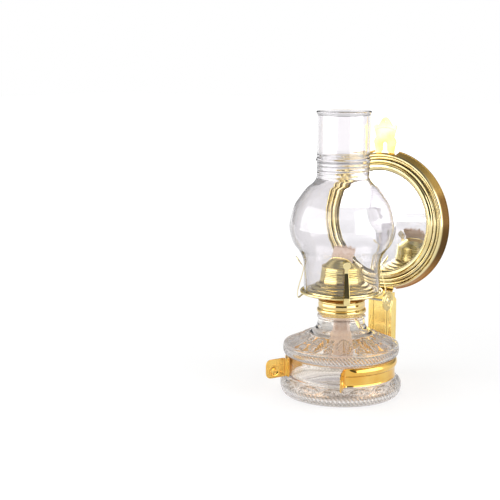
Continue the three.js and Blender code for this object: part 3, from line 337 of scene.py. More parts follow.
# %% [markdown]
# Bevels, thickness and holes come from modifiers. Each is applied at once, so that the piece
# is a plain mesh. Holes are exact booleans, as a drill or a press tool would leave them.

# %% Modifiers and holes
def finished(mesh, *kinds):
    """The mesh with these modifiers applied, each given as (kind, settings)."""
    carrier = bpy.data.objects.new("carrier", mesh)
    scene.collection.objects.link(carrier)
    for kind, settings in kinds:
        modifier = carrier.modifiers.new(kind, kind)
        for key, value in settings.items():
            setattr(modifier, key, value)
    evaluated = carrier.evaluated_get(bpy.context.evaluated_depsgraph_get())
    result = bpy.data.meshes.new_from_object(evaluated)
    bpy.data.objects.remove(carrier)
    return result


def thickened(thickness):
    """Gives a bare surface the thickness of a sheet, half to each side."""
    return "SOLIDIFY", {"thickness": thickness * MM, "offset": 0.0}


def broken_edges(width, **more):
    """Rounds the sharp edges over a width in mm."""
    return "BEVEL", {"width": width * MM, "segments": 2, **more}


def combined(mesh, others, operation):
    """Exact boolean with each of the other meshes in turn."""
    for other in others:
        tool = bpy.data.objects.new("tool", other)
        scene.collection.objects.link(tool)
        settings = {"operation": operation, "solver": "EXACT", "object": tool}
        mesh = finished(mesh, ("BOOLEAN", settings))
        bpy.data.objects.remove(tool)
    return mesh


def cut(mesh, *cutters):
    """The mesh less each cutter."""
    return combined(mesh, [outward(cutter) for cutter in cutters], "DIFFERENCE")

# %% [markdown]
# A finished piece rides on a body of the frame, so that it moves with it, and it replaces the
# CAD part that it refines.

# %% A finished piece
def piece(name, mesh, body, finish, replaces=(), crease=32):
    """Makes the finished piece: smooth faces with sharp creases, and what it rides on."""
    mesh.name = name
    mesh.materials.clear()
    mesh.materials.append(finish)
    mesh.shade_smooth()
    mesh.set_sharp_from_angle(angle=math.radians(crease))
    obj = bpy.data.objects.new(name, mesh)
    scene.collection.objects.link(obj)
    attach(obj, body)
    if replaces:
        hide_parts(*replaces)
    print(f"{name}: {sum(len(p.vertices) - 2 for p in mesh.polygons)} triangles on {body}")
    return obj

# %% [markdown]
# ## Places
#
# The frame knows where each part is, so places are read from it and not typed again. If the
# solids change, the finer pieces follow.

# %% Places read from the frame
def low(node, axis):
    """Where a node begins along an axis, in mm."""
    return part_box(node)[0]["xyz".index(axis)] / MM


def high(node, axis):
    """Where a node ends along an axis, in mm."""
    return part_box(node)[1]["xyz".index(axis)] / MM


COLLAR_LOW = low("font_collar", "z")
COLLAR_TOP = high("font_collar", "z")
CHIMNEY_FOOT = low("chimney_glass", "z")
CHIMNEY_TOP = high("chimney_glass", "z")
BRIM = low("burner_dome", "z")
CROWN = high("burner_dome", "z")
GALLERY_R = high("burner_gallery", "x")
GALLERY_TOP = high("burner_gallery", "z")
SHAFT_Y = (low("knob_shaft", "y") + high("knob_shaft", "y")) / 2
SHAFT_Z = (low("knob_shaft", "z") + high("knob_shaft", "z")) / 2
MIRROR_FACE = low("mirror_glass", "y")
MIRROR_Z = (low("mirror_glass", "z") + high("mirror_glass", "z")) / 2
print(f"chimney foot {CHIMNEY_FOOT:.1f}, mirror axis {MIRROR_Z:.1f}, wick shaft {SHAFT_Z:.1f} mm up")

# %% [markdown]
# ## The camera
#
# The lamp is seen from its front right, a little from above, through a long lens. The
# camera comes first, because every later choice is judged through it.

# %% Camera
CAMERA_REACH = 1140.5  # mm from the font's axis
CAMERA_HEIGHT = 342.2
CAMERA_AROUND = math.radians(31.98)  # round the font's axis, from the front
CAMERA_LOOK = math.radians(36.61)  # where it looks: the lamp stands right of the middle
CAMERA_DOWN = math.radians(9.79)
FOCAL_LENGTH = 83.2  # mm on a 36 mm wide sensor

lens = bpy.data.cameras.new("camera")
lens.sensor_width = 36
lens.lens = FOCAL_LENGTH
lens.clip_end = 30
camera = bpy.data.objects.new("camera", lens)
scene.collection.objects.link(camera)
camera.location = (CAMERA_REACH * math.sin(CAMERA_AROUND) * MM,
                   -CAMERA_REACH * math.cos(CAMERA_AROUND) * MM, CAMERA_HEIGHT * MM)
camera.rotation_euler = (math.pi / 2 - CAMERA_DOWN, 0, CAMERA_LOOK)
scene.camera = camera
print("camera at", [round(c, 3) for c in camera.location])

# %% [markdown]
# ## Brass
#
# Spun and pressed brass sheet, polished and lacquered. The alloy gives a yellow mirror, the
# spinning tool leaves fine rings, the lacquer pools into slightly deeper patches, and handling
# leaves a few dull smudges. Narrow dark rings at the creases are painted shade, with some
# tarnish where polish doesn't reach.
# The reflector's wall carries painted light and shade: deep at the sides, lighter at the top
# and warmer at the bottom.
# Metal keeps its default index of refraction. A noise scale is how many features there are
# in a metre: patches of about 22 mm, smudges of 11 mm, and a grain of 1 mm, drawn coarser
# than polishing leaves it, so that it shows.

# %% What every brass shares
PATCHES, SMUDGES, GRAIN = 45.0, 90.0, 900.0
# The dark crease rings are painted shade, with some tarnish: their core and edge in mm, and how dark
DARK_RING_CORE, DARK_RING_EDGE, DARK_RING_SHARE = 0.25, 0.75, 0.92  # mm, mm and how dark
# Heights where the wall's painted light and shade go from the side colour to the top and bottom ones
WALL_SIDE, WALL_END = 25, 62  # mm above or below the mirror's axis where its wall changes colour
WALL_ROUGH = 0.22


def new_finish(name):
    """A new material, its tree and its shader."""
    made = bpy.data.materials.new(name)
    made.use_nodes = True
    return made, made.node_tree, made.node_tree.nodes["Principled BSDF"]


print(f"patches {1000 / PATCHES:.0f} mm, smudges {1000 / SMUDGES:.0f} mm, grain {1000 / GRAIN:.1f} mm")


# %% The brass finish
def brass(name, light, deep, rough, ring_spacing=0.0, axis_z=True, wall=None, creases=(),
          tarnish_and_shade="#4e3f22"):
    """Polished brass. Rings of ring_spacing mm run round Z, or round the mirror's axis.

    Creases are the distances from that axis, in mm, of narrow dark rings: painted shade, with some tarnish.
    A wall is (distance from the axis, colour at its sides, at its top and at its bottom) for the
    metal beyond that distance; these colours are painted light and shade.
    """
    made, tree, shader = new_finish(name)
    shader.inputs["Metallic"].default_value = 1.0
    place = add(tree, "ShaderNodeTexCoord", out="Object")
    patch = add(tree, "ShaderNodeTexNoise", {"Vector": place, "Scale": PATCHES, "Detail": 3.0}, out=0)
    blend = add(tree, "ShaderNodeMapRange", {"Value": patch, "From Min": 0.35, "From Max": 0.7}, out=0)
    colour = add(tree, "ShaderNodeMix", {0: blend, 6: tint(light), 7: tint(deep)}, out=2,
                 data_type="RGBA")
    if creases:
        centre, plane = ((0, 0, 0), (1, 1, 0)) if axis_z else ((0, 0, -MIRROR_Z * MM), (1, 0, 1))
        off = add(tree, "ShaderNodeVectorMath", {0: place, 1: centre}, out=0, operation="ADD")
        off = add(tree, "ShaderNodeVectorMath", {0: off, 1: plane}, out=0, operation="MULTIPLY")
        reach = add(tree, "ShaderNodeVectorMath", {0: off}, out="Value", operation="LENGTH")
    # Painted light and shade on the reflector's wall: deep at the sides, lighter towards top and bottom
    if wall:
        beyond = add(tree, "ShaderNodeMapRange", {"Value": reach, "From Min": (wall[0] - 0.3) * MM,
                                                  "From Max": (wall[0] + 0.5) * MM}, out=0)
        up = add(tree, "ShaderNodeSeparateXYZ", {0: off}, out="Z")
        wall_light_and_shade = tint(wall[1])
        for end, end_colour in ((1, wall[2]), (-1, wall[3])):
            towards_end = add(tree, "ShaderNodeMapRange", {"Value": up, "From Min": end * WALL_SIDE * MM,
                                                    "From Max": end * WALL_END * MM}, out=0,
                       interpolation_type="SMOOTHSTEP")
            wall_light_and_shade = add(tree, "ShaderNodeMix", {0: towards_end, 6: wall_light_and_shade, 7: tint(end_colour)}, out=2,
                       data_type="RGBA")
        colour = add(tree, "ShaderNodeMix", {0: beyond, 6: colour, 7: wall_light_and_shade}, out=2, data_type="RGBA")
    # Painted shade, with some tarnish: a narrow dark ring at each crease
    for crease in creases:
        gap = add(tree, "ShaderNodeMath", {0: reach, 1: crease * MM}, out=0, operation="SUBTRACT")
        gap = add(tree, "ShaderNodeMath", {0: gap}, out=0, operation="ABSOLUTE")
        dark = add(tree, "ShaderNodeMapRange", {"Value": gap, "From Min": DARK_RING_CORE * MM,
                                                "From Max": DARK_RING_EDGE * MM,
                                                "To Min": DARK_RING_SHARE, "To Max": 0.0}, out=0)
        colour = add(tree, "ShaderNodeMix", {0: dark, 6: colour, 7: tint(tarnish_and_shade)}, out=2,
                     data_type="RGBA")
    tree.links.new(colour, shader.inputs["Base Color"])
    smudge = add(tree, "ShaderNodeTexNoise", {"Vector": place, "Scale": SMUDGES, "Detail": 4.0}, out=0)
    dull = add(tree, "ShaderNodeMapRange", {"Value": smudge, "From Min": 0.4, "From Max": 0.75,
                                            "To Min": rough, "To Max": rough * 1.7}, out=0)
    if wall:
        dull = add(tree, "ShaderNodeMix", {0: beyond, 2: dull, 3: WALL_ROUGH}, out=0, data_type="FLOAT")
    tree.links.new(dull, shader.inputs["Roughness"])
    grain = add(tree, "ShaderNodeTexNoise", {"Vector": place, "Scale": GRAIN, "Detail": 2.0}, out=0)
    bump = add(tree, "ShaderNodeBump", {"Height": grain, "Strength": 0.035, "Distance": 0.0004}, out=0)
    if ring_spacing:
        height = add(tree, "ShaderNodeSeparateXYZ", {0: place}, out="Z" if axis_z else "Y")
        turns = add(tree, "ShaderNodeMath", {0: height, 1: TAU / (ring_spacing * MM)}, out=0,
                    operation="MULTIPLY")
        wave = add(tree, "ShaderNodeMath", {0: turns}, out=0, operation="SINE")
        bump = add(tree, "ShaderNodeBump", {"Height": wave, "Strength": 0.16, "Distance": 0.0003,
                                            "Normal": bump}, out=0)
    tree.links.new(bump, shader.inputs["Normal"])
    return made


# %% Brass finishes
GOLD = brass("lacquered gold brass", "#f6d680", "#ebbe5c", 0.12)
PALE = brass("polished pale brass", "#f3e3ad", "#e2cb8a", 0.1)
# Its dark crease rings are painted shade, with some tarnish
SPUN = brass("spun pale brass", "#fcecaa", "#efd684", 0.11, ring_spacing=1.6,
             creases=(19.1, 22.6, 26.8, 31.1, 34.5), tarnish_and_shade="#8f7a48")
# Its dark crease rings are painted shade, with some tarnish
# Its wall's three colours are painted light and shade
FRAME_BRASS = brass("spun frame brass", "#f5e8b8", "#e9d394", 0.08, ring_spacing=0.9, axis_z=False,
                    wall=(70.6, "#5f4524", "#ffd274", "#b87f34"), creases=(53.6, 61.0, 64.8, 68.0))
BRACKET_BRASS = brass("lacquered bracket brass", "#ffe695", "#f6ce6c", 0.18)
KNOB_BRASS = brass("handled knob brass", "#ecd9a0", "#c9ae6c", 0.1)
# Painted shade: the body sits under the gallery, so its brass is made browner and darker
SHADED_BODY_BRASS = brass("shaded body brass", "#c08e4c", "#9c6c32", 0.16)
COLLAR_BRASS = brass("polished collar brass", "#efd596", "#dfbe78", 0.1)
STRAP = brass("lacquered strap brass", "#f6cd72", "#eab04c", 0.1)
INNER = brass("unpolished inner brass", "#b08e4e", "#8a6a35", 0.3)
print("brass finishes:", ", ".join(m.name for m in bpy.data.materials if "brass" in m.name))

# %% [markdown]
# ## Glass
#
# Soda-lime glass, blown for the chimney and pressed for the font. It is clear, with a faint
# lavender grey from its thickness, and its outline is darker, because light has a longer way
# through the wall there. A brown tint along the pressed pattern's grooves and ridge sides is
# dust and painted shade, and makes the pattern readable. Light passes to what is inside, so
# shadow rays go straight through. A thick pressed wall turns light back and forth inside it,
# which a renderer cuts off to black: after some bends it goes straight on. Tongs and mould
# leave slow waves of about 36 mm.

# %% Glass finishes
GLASS_IOR = 1.5
GLASS_WAVES = 28.0  # in a metre
NEVER = 99.0  # more bends than light makes


def glass(name, body, edge, ripple, rough=0.0, narrow=5.0, groove=None, deepest=NEVER):
    """Clear glass: its tint goes from body to edge where the wall is seen at a low angle.

    The greater narrow is, the thinner is the outline that takes the edge's tint.
    Groove is the tint of the dust and painted shade in a pressed pattern, where the mesh's own groove value
    is 1.
    Past deepest bends light leaves the glass straight, so that thick walls stay clear.
    """
    made, tree, shader = new_finish(name)
    shader.inputs["Transmission Weight"].default_value = 1.0
    shader.inputs["IOR"].default_value = GLASS_IOR
    shader.inputs["Roughness"].default_value = rough
    place = add(tree, "ShaderNodeTexCoord", out="Object")
    facing = add(tree, "ShaderNodeLayerWeight", {"Blend": 0.5}, out="Facing")
    rim = add(tree, "ShaderNodeMath", {0: facing, 1: narrow}, out=0, operation="POWER")
    colour = add(tree, "ShaderNodeMix", {0: rim, 6: tint(body), 7: tint(edge)}, out=2,
                 data_type="RGBA")
    # Dust and painted shade: a brown tint where the mesh's groove value is high
    if groove:
        dust_and_shade = add(tree, "ShaderNodeAttribute", out="Fac", attribute_name="groove")
        colour = add(tree, "ShaderNodeMix", {0: dust_and_shade, 6: colour, 7: tint(groove)}, out=2,
                     data_type="RGBA")
    tree.links.new(colour, shader.inputs["Base Color"])
    wave = add(tree, "ShaderNodeTexNoise", {"Vector": place, "Scale": GLASS_WAVES, "Detail": 1.0}, out=0)
    bump = add(tree, "ShaderNodeBump", {"Height": wave, "Strength": ripple, "Distance": 0.002}, out=0)
    tree.links.new(bump, shader.inputs["Normal"])
    clear = add(tree, "ShaderNodeBsdfTransparent", {"Color": tint("#f3f1f3")}, out=0)
    path = add(tree, "ShaderNodeLightPath")
    passing = add(tree, "ShaderNodeMath",
                  {0: path.outputs["Is Shadow Ray"], 1: path.outputs["Is Diffuse Ray"]}, out=0,
                  operation="MAXIMUM")
    deep = add(tree, "ShaderNodeMath", {0: path.outputs["Ray Depth"], 1: deepest}, out=0,
               operation="GREATER_THAN")
    passing = add(tree, "ShaderNodeMath", {0: passing, 1: deep}, out=0, operation="MAXIMUM")
    both = add(tree, "ShaderNodeMixShader", {0: passing, 1: shader.outputs[0], 2: clear}, out=0)
    tree.links.new(both, tree.nodes["Material Output"].inputs["Surface"])
    return made


BLOWN = glass("blown soda-lime glass", "#f1eff1", "#5a565a", 0.02, narrow=3.0)
# The pressed glass's groove tint is dust and painted shade
PRESSED = glass("pressed soda-lime glass", "#fdf9f4", "#b5aea8", 0.03, rough=0.005, groove="#796954",
                deepest=5.5)
print("glass finishes:", BLOWN.name, "|", PRESSED.name)

# %% [markdown]
# ## Mirror, cotton and steel
#
# The mirror is float glass silvered at the back, so it reflects nearly everything, with a
# faint haze. The wick is flat woven cotton: upright warp threads with a weft across them,
# drawn at twice their real spacing so that they show. The shaft and spur wheels are drawn
# steel, and the pan behind the mirror is tinned sheet with a broad crystal pattern.

# %% Mirror finish
def silvered():
    """Silvering with haze in patches of about 33 mm."""
    made, tree, shader = new_finish("silvered float glass")
    shader.inputs["Metallic"].default_value = 1.0
    place = add(tree, "ShaderNodeTexCoord", out="Object")
    haze = add(tree, "ShaderNodeTexNoise", {"Vector": place, "Scale": 30.0, "Detail": 2.0}, out=0)
    colour = add(tree, "ShaderNodeMix", {0: haze, 6: tint("#fbfcfc"), 7: tint("#f3f5f5")}, out=2,
                 data_type="RGBA")
    tree.links.new(colour, shader.inputs["Base Color"])
    rough = add(tree, "ShaderNodeMapRange", {"Value": haze, "To Min": 0.0, "To Max": 0.004}, out=0)
    tree.links.new(rough, shader.inputs["Roughness"])
    return made


MIRROR = silvered()
print("mirror finish:", MIRROR.name)

# %% Cotton finish
WARP, WEFT = 1.1, 1.5  # mm from thread to thread
SLUBS = 320.0  # in a metre: thick places about 3 mm long


def cotton():
    """Warp threads up the wick, a weft across it, and a few slubs."""
    made, tree, shader = new_finish("woven cotton tape")
    shader.inputs["Roughness"].default_value = 0.95
    shader.inputs["Sheen Weight"].default_value = 0.3
    place = add(tree, "ShaderNodeTexCoord", out="Object")
    axes = add(tree, "ShaderNodeSeparateXYZ", {0: place})
    warp = add(tree, "ShaderNodeMath", {0: axes.outputs["X"], 1: TAU / (WARP * MM)}, out=0,
               operation="MULTIPLY")
    warp = add(tree, "ShaderNodeMath", {0: warp}, out=0, operation="SINE")
    weft = add(tree, "ShaderNodeMath", {0: axes.outputs["Z"], 1: TAU / (WEFT * MM)}, out=0,
               operation="MULTIPLY")
    weft = add(tree, "ShaderNodeMath", {0: weft}, out=0, operation="SINE")
    weave = add(tree, "ShaderNodeMath", {0: warp, 1: weft}, out=0, operation="MULTIPLY")
    slub = add(tree, "ShaderNodeTexNoise", {"Vector": place, "Scale": SLUBS, "Detail": 3.0}, out=0)
    depth = add(tree, "ShaderNodeMath", {0: weave, 1: 0.5, 2: slub}, out=0, operation="MULTIPLY_ADD")
    shade = add(tree, "ShaderNodeMapRange", {"Value": depth, "From Min": -0.1, "From Max": 1.1}, out=0)
    colour = add(tree, "ShaderNodeMix", {0: shade, 6: tint("#cda682"), 7: tint("#fff3e4")}, out=2,
                 data_type="RGBA")
    tree.links.new(colour, shader.inputs["Base Color"])
    bump = add(tree, "ShaderNodeBump", {"Height": depth, "Strength": 0.3, "Distance": 0.0005}, out=0)
    tree.links.new(bump, shader.inputs["Normal"])
    return made


COTTON = cotton()
print("wick finish:", COTTON.name)

# %% Steel finishes
def steel(name, light, dark, rough, grain_scale):
    """Bare steel or tinplate. Its grain is the number of features in a metre."""
    made, tree, shader = new_finish(name)
    shader.inputs["Metallic"].default_value = 1.0
    place = add(tree, "ShaderNodeTexCoord", out="Object")
    grain = add(tree, "ShaderNodeTexNoise", {"Vector": place, "Scale": grain_scale, "Detail": 4.0}, out=0)
    colour = add(tree, "ShaderNodeMix", {0: grain, 6: tint(light), 7: tint(dark)}, out=2,
                 data_type="RGBA")
    tree.links.new(colour, shader.inputs["Base Color"])
    dull = add(tree, "ShaderNodeMapRange", {"Value": grain, "To Min": rough, "To Max": rough * 1.8}, out=0)
    tree.links.new(dull, shader.inputs["Roughness"])
    return made


STEEL = steel("drawn steel", "#c9cbce", "#8b8d90", 0.22, 600.0)
TINPLATE = steel("tinned sheet steel", "#b9bbbe", "#8f9296", 0.3, 60.0)
print("steel finishes:", STEEL.name, "|", TINPLATE.name)

# %% [markdown]
# ## The font
#
# The font is pressed glass: a plunger shapes the inside and a carved iron mould the outside.
# So the inner wall is plain and the outer one carries the patterns: a rope band round the
# foot and one round the rim, leaves and scrolls on the shoulder, and a plain waist where the
# clip sits. The wall is turned from its profile. The rope follows a rule, so a geometry
# tree cuts it: strands at even angles that lean with height, sunk into the wall. The leaves
# are pressed in by a height for each point of the shoulder. Only the outside is carved, so
# it is turned in fine steps and the plain inside in coarse ones.

# %% The rope band's tree
OUTER_SIDE = 0.1  # how much a face must look away from the axis to be cut


def rope_tree():
    """Cuts leaning strands between two heights into the outer side of a turned wall."""
    sizes = {name: "NodeSocketFloat" for name in ("Low", "High", "Strands", "Lean", "Depth", "Fade")}
    tree, given = new_tree("Rope band", sizes)
    place = add(tree, "GeometryNodeInputPosition", out=0)
    axes = add(tree, "ShaderNodeSeparateXYZ", {0: place})
    angle = add(tree, "ShaderNodeMath", {0: axes.outputs["Y"], 1: axes.outputs["X"]}, out=0,
                operation="ARCTAN2")
    round_it = add(tree, "ShaderNodeMath", {0: angle, 1: given["Strands"]}, out=0, operation="MULTIPLY")
    phase = add(tree, "ShaderNodeMath", {0: axes.outputs["Z"], 1: given["Lean"], 2: round_it}, out=0,
                operation="MULTIPLY_ADD")
    half = add(tree, "ShaderNodeMath", {0: phase, 1: 0.5}, out=0, operation="MULTIPLY")
    wave = add(tree, "ShaderNodeMath", {0: half}, out=0, operation="COSINE")
    strand = add(tree, "ShaderNodeMath", {0: wave}, out=0, operation="ABSOLUTE")
    sunk = add(tree, "ShaderNodeMath", {0: strand, 1: 1.0}, out=0, operation="SUBTRACT")
    inside_low = add(tree, "ShaderNodeMath", {0: axes.outputs["Z"], 1: given["Low"]}, out=0,
                     operation="SUBTRACT")
    inside_high = add(tree, "ShaderNodeMath", {0: given["High"], 1: axes.outputs["Z"]}, out=0,
                      operation="SUBTRACT")
    nearest = add(tree, "ShaderNodeMath", {0: inside_low, 1: inside_high}, out=0, operation="MINIMUM")
    fade = add(tree, "ShaderNodeMapRange", {"Value": nearest, "From Max": given["Fade"]}, out=0)
    outwards = add(tree, "ShaderNodeCombineXYZ", {"X": axes.outputs["X"], "Y": axes.outputs["Y"]}, out=0)
    outwards = add(tree, "ShaderNodeVectorMath", {0: outwards}, out=0, operation="NORMALIZE")
    normal = add(tree, "GeometryNodeInputNormal", out=0)
    facing = add(tree, "ShaderNodeVectorMath", {0: normal, 1: outwards}, out="Value",
                 operation="DOT_PRODUCT")
    outer = add(tree, "ShaderNodeMath", {0: facing, 1: OUTER_SIDE}, out=0, operation="GREATER_THAN")
    depth = add(tree, "ShaderNodeMath", {0: sunk, 1: given["Depth"]}, out=0, operation="MULTIPLY")
    depth = add(tree, "ShaderNodeMath", {0: depth, 1: fade}, out=0, operation="MULTIPLY")
    depth = add(tree, "ShaderNodeMath", {0: depth, 1: outer}, out=0, operation="MULTIPLY")
    shift = add(tree, "ShaderNodeVectorMath", {0: outwards, "Scale": depth}, out=0, operation="SCALE")
    moved = add(tree, "GeometryNodeSetPosition", {"Geometry": given["Geometry"], "Offset": shift}, out=0)
    return end_tree(tree, given, moved)


ROPE = rope_tree()
print("tree:", ROPE.name, "with", len(ROPE.nodes), "nodes")

# %% The font's profile
SHOULDER = through([(56.1, 51.3), (54.4, 52.3), (50.5, 54.5), (44.0, 57.7), (37.0, 61.3), (31.0, 64.1),
                    (27.6, 66.3), (25.0, 68.8), (23.9, 72.2), (23.4, 76.6)], 5)
LIP_OUT, LIP_IN, LIP_Z = 21.0, 18.7, 87.3  # the flat ring at the top of the neck
FINE, COARSE = 576, 96  # steps round the carved outside and the plain inside


def font_outside():
    """From the axis under the foot, out and up to the lip."""
    foot = rounded([(0, 0.7), (46.0, 0.7), (48.0, 0.0), (54.4, 0.0), (57.6, 1.0)], 0.8, 2)
    bulge = through([(57.6, 1.0), (59.6, 3.4), (60.8, 6.6), (61.15, 9.8), (60.7, 12.6), (58.9, 15.2),
                     (56.0, 17.2), (53.9, 18.8), (53.5, 21.0)], 3)
    rim = through([(53.5, 38.4), (53.9, 40.0), (56.3, 41.0), (57.8, 42.4), (58.35, 45.2), (58.35, 48.2),
                   (58.1, 50.4), (57.3, 51.7), (56.4, 51.8), (56.1, 51.3)], 2)
    neck = rounded([(23.4, 76.6), (23.5, 77.8), (24.4, 78.6), (24.4, 79.9), (23.2, 80.8), (21.9, 80.9),
                    (21.9, LIP_Z), (LIP_OUT, LIP_Z)], 0.7, 2)
    waist = divided([bulge[-1], rim[0]], 6.0)
    return [*foot, *divided(bulge[1:], 1.2), *waist[1:], *divided(rim[1:], 1.0),
            *divided(SHOULDER[1:], 0.92), *neck[1:]]


def font_inside():
    """From the lip down to the axis at the font's floor."""
    inner = through([(18.4, 78.0), (18.8, 74.0), (20.4, 69.8), (24.4, 65.9), (31.0, 62.2), (39.0, 58.0),
                     (46.0, 53.4), (51.4, 49.7), (53.9, 47.0), (53.9, 44.2), (52.6, 42.0), (50.2, 40.2),
                     (49.9, 36.0), (49.9, 23.0), (50.6, 19.2), (54.4, 15.6), (56.6, 12.6), (57.2, 9.6),
                     (56.4, 7.0), (54.0, 5.3), (50.0, 5.0)], 2)
    return [(LIP_IN, LIP_Z), (18.4, LIP_Z - 0.3), *inner, (0, 5.0)]


print("font profile:", len(font_outside()), "points outside,", len(font_inside()), "inside")


# %% The font's two walls
def font_walls():
    """The carved outside in fine steps and the plain inside in coarse ones, joined over the lip."""
    work = bmesh.new()
    for line, segments in ((font_outside(), FINE), (font_inside(), COARSE)):
        work.from_mesh(grown(TURNING, from_points(line), Segments=segments, Start=0.0, Turn=TAU))

    def lip(radius):
        """The corners round the lip at a radius, in order."""
        ring = [v for v in work.verts if abs(v.co.z - LIP_Z * MM) < 1e-6
                and abs(math.hypot(v.co.x, v.co.y) - radius * MM) < 1e-6]
        return sorted(ring, key=lambda v: (math.atan2(v.co.y, v.co.x) + 1e-4) % TAU)

    outer, inner, step = lip(LIP_OUT), lip(LIP_IN), FINE // COARSE
    for i in range(COARSE):
        arc = [outer[(i * step + j) % FINE] for j in range(step + 1)]
        work.faces.new([*arc, inner[(i + 1) % COARSE], inner[i]])
    walls = bpy.data.meshes.new("font")
    work.to_mesh(walls)
    work.free()
    return outward(walls)


print("carved steps beside each plain one:", FINE // COARSE)

# %% [markdown]
# The shoulder's pattern is a row of upright leaves with scrolls and small flowers between
# them, over a wavy stem. Each line is a narrow ridge: its height falls off with the distance
# from a curve. The glass is sunk everywhere but on the ridges, as the mould's carving leaves
# them standing. Dust and painted shade darken the ridges' sides.

# %% Leaves and scrolls on the shoulder
LEAVES = 10
PATTERN_RUN = 27  # mm up the slope from the shoulder's edge
SCROLLS = ((6.8, 4.4), (15.6, 3.2), (21.5, 1.8))  # mm up the slope and how far they reach
SHOULDER_SLOPE = np.array([0.47, 0.88])  # outwards and up, at right angles to the slope


def ridge(distance, half):
    """A thin raised line: 1 on it and 0 away from it."""
    return np.exp(-(distance / half) ** 2)


def pressed_height(angle, run, radius):
    """Height, 0 to 1, of the pattern at an angle and at run mm up the shoulder from its edge."""
    pitch = TAU / LEAVES
    near = (angle % pitch) - pitch / 2
    across = np.abs(near) * radius
    along = np.sin(np.clip((run - 1) / 25, 0, 1) * math.pi) ** 0.7
    width = 7.4 * along * (1 + 0.16 * np.cos(run * 1.7))
    inside = across < width
    veins = ridge((run * 0.8 + across * 1.1) % 3.2 - 1.6, 0.4)
    midrib = np.maximum(ridge(across, 0.5), 0.75 * veins)
    leaf = np.maximum(ridge(across - width, 0.55), inside * midrib)
    beside = (pitch / 2 - np.abs(near)) * radius
    scrolls = np.zeros_like(run)
    for centre_run, reach in SCROLLS:
        away = np.hypot(beside, run - centre_run)
        round_it = np.arctan2(beside, run - centre_run)
        coil = ridge(away - reach * (1 - 0.12 * round_it), 0.55)
        flower = ridge(away - 0.45 * reach * (1 + 0.35 * np.cos(5 * round_it)), 0.45)
        scrolls = np.maximum(scrolls, np.maximum(coil, flower))
    height = np.maximum(leaf, scrolls * (across > width + 0.6))
    stem = ridge(run - 2.0 - 0.9 * np.cos(near / pitch * 2 * TAU), 0.55)
    fade = np.clip((PATTERN_RUN - run) / 4, 0, 1)
    return np.maximum(height, 0.9 * stem) * np.clip(run / 1.5, 0, 1) * fade


print("shoulder pattern:", LEAVES, "leaves and", LEAVES * len(SCROLLS), "scrolls")


# %% Press the shoulder
def push(mesh, points, radius, amount, slope):
    """Moves each point by its amount in mm, outwards and up as the slope says."""
    out = points[:, :2] / np.maximum(radius, 1e-6)[:, None]
    points[:, :2] += out * (amount * slope[0])[:, None]
    points[:, 2] += amount * slope[1]
    mesh.vertices.foreach_set("co", (points * MM).ravel())
    mesh.update()


def press_shoulder(mesh, depth):
    """Sinks the outer shoulder everywhere but on the pattern, and returns where dust and painted shade lie.
    """
    line = np.array(divided(SHOULDER, 0.5))
    runs = np.concatenate([[0], np.cumsum(np.hypot(*np.diff(line, axis=0).T))])
    points = np.array([v.co for v in mesh.vertices]) / MM
    radius = np.hypot(points[:, 0], points[:, 1])
    order = np.argsort(line[:, 0])
    surface = np.interp(radius, line[order, 0], line[order, 1])
    run = np.interp(radius, line[order, 0], runs[order])
    on_it = (np.abs(points[:, 2] - surface) < 0.5) & (radius > 24.5) & (radius < 55.5)
    height = pressed_height(np.arctan2(points[:, 1], points[:, 0]), run, radius)
    start = np.clip(run / 1.5, 0, 1)
    sunk = np.where(on_it, (height - 1) * depth, 0) * start * np.clip((PATTERN_RUN + 3 - run) / 4, 0, 1)
    push(mesh, points, radius, sunk, SHOULDER_SLOPE)
    return on_it * 4 * height * (1 - height) * start


print(f"the shoulder rises {SHOULDER[-1][1] - SHOULDER[0][1]:.1f} mm")

# %% [markdown]
# Between the foot's rope band and the waist runs a row of pointed leaves with veins, along a
# second wavy stem. Here the lines stand out of the plain slope instead.

# %% Leaves on the foot's upper slope
FOOT_LEAVES = 14
FOOT_LOW, FOOT_RUN = 11.6, 6.6  # mm up, and how high the row is
FOOT_SLOPE = np.array([0.6, 0.8])  # outwards and up
FOOT_FADE = 0.12  # the share of the row over which it fades at its top and bottom


def press_foot(mesh, depth):
    """Raises a row of pointed leaves on the foot, and returns where dust and painted shade lie."""
    points = np.array([v.co for v in mesh.vertices]) / MM
    radius = np.hypot(points[:, 0], points[:, 1])
    up = (points[:, 2] - FOOT_LOW) / FOOT_RUN
    on_it = (up > 0) & (up < 1) & (radius > 53.9 + 3.2 * (1 - up))
    near = (np.arctan2(points[:, 1], points[:, 0]) * FOOT_LEAVES / TAU) % 1.0
    half = 0.5 * np.sin(np.clip(near, 0, 1) * math.pi) ** 0.8
    outline = ridge((np.abs(up - 0.5) - half) * 7.0, 0.8)
    stem = ridge((up - 0.5 - 0.12 * np.sin(near * TAU)) * 7.0, 0.5)
    veins = ridge((near * 12 + np.abs(up - 0.5) * 4) % 1.0 - 0.5, 0.16)
    veins = veins * (np.abs(up - 0.5) < half) * 0.5
    height = np.maximum(np.maximum(outline, stem), veins)
    height = height * np.clip(up / FOOT_FADE, 0, 1) * np.clip((1 - up) / FOOT_FADE, 0, 1)
    push(mesh, points, radius, np.where(on_it, height * depth, 0), FOOT_SLOPE)
    return on_it * 4 * height * (1 - height)


print("foot pattern:", FOOT_LEAVES, "leaves")

# %% [markdown]
# The two rope bands are cut first, each by one run of the tree, and then the leaves are
# pressed. Each step says where its dust and painted shade lie. The values are kept on the mesh
# as an attribute, and the glass reads it.

# %% Make the font
# Each band's low and high edge in mm, its strands, their lean in radians a metre, depth in mm
ROPES = ((2.6, 11.2, 90.0, 1500.0, 1.1), (41.4, 50.0, 96.0, 1700.0, 1.25))
ROPE_FADE = 1.0  # mm over which a groove runs out at the band's edges
ROPE_R = 55.6  # mm: the bands lie outside this radius


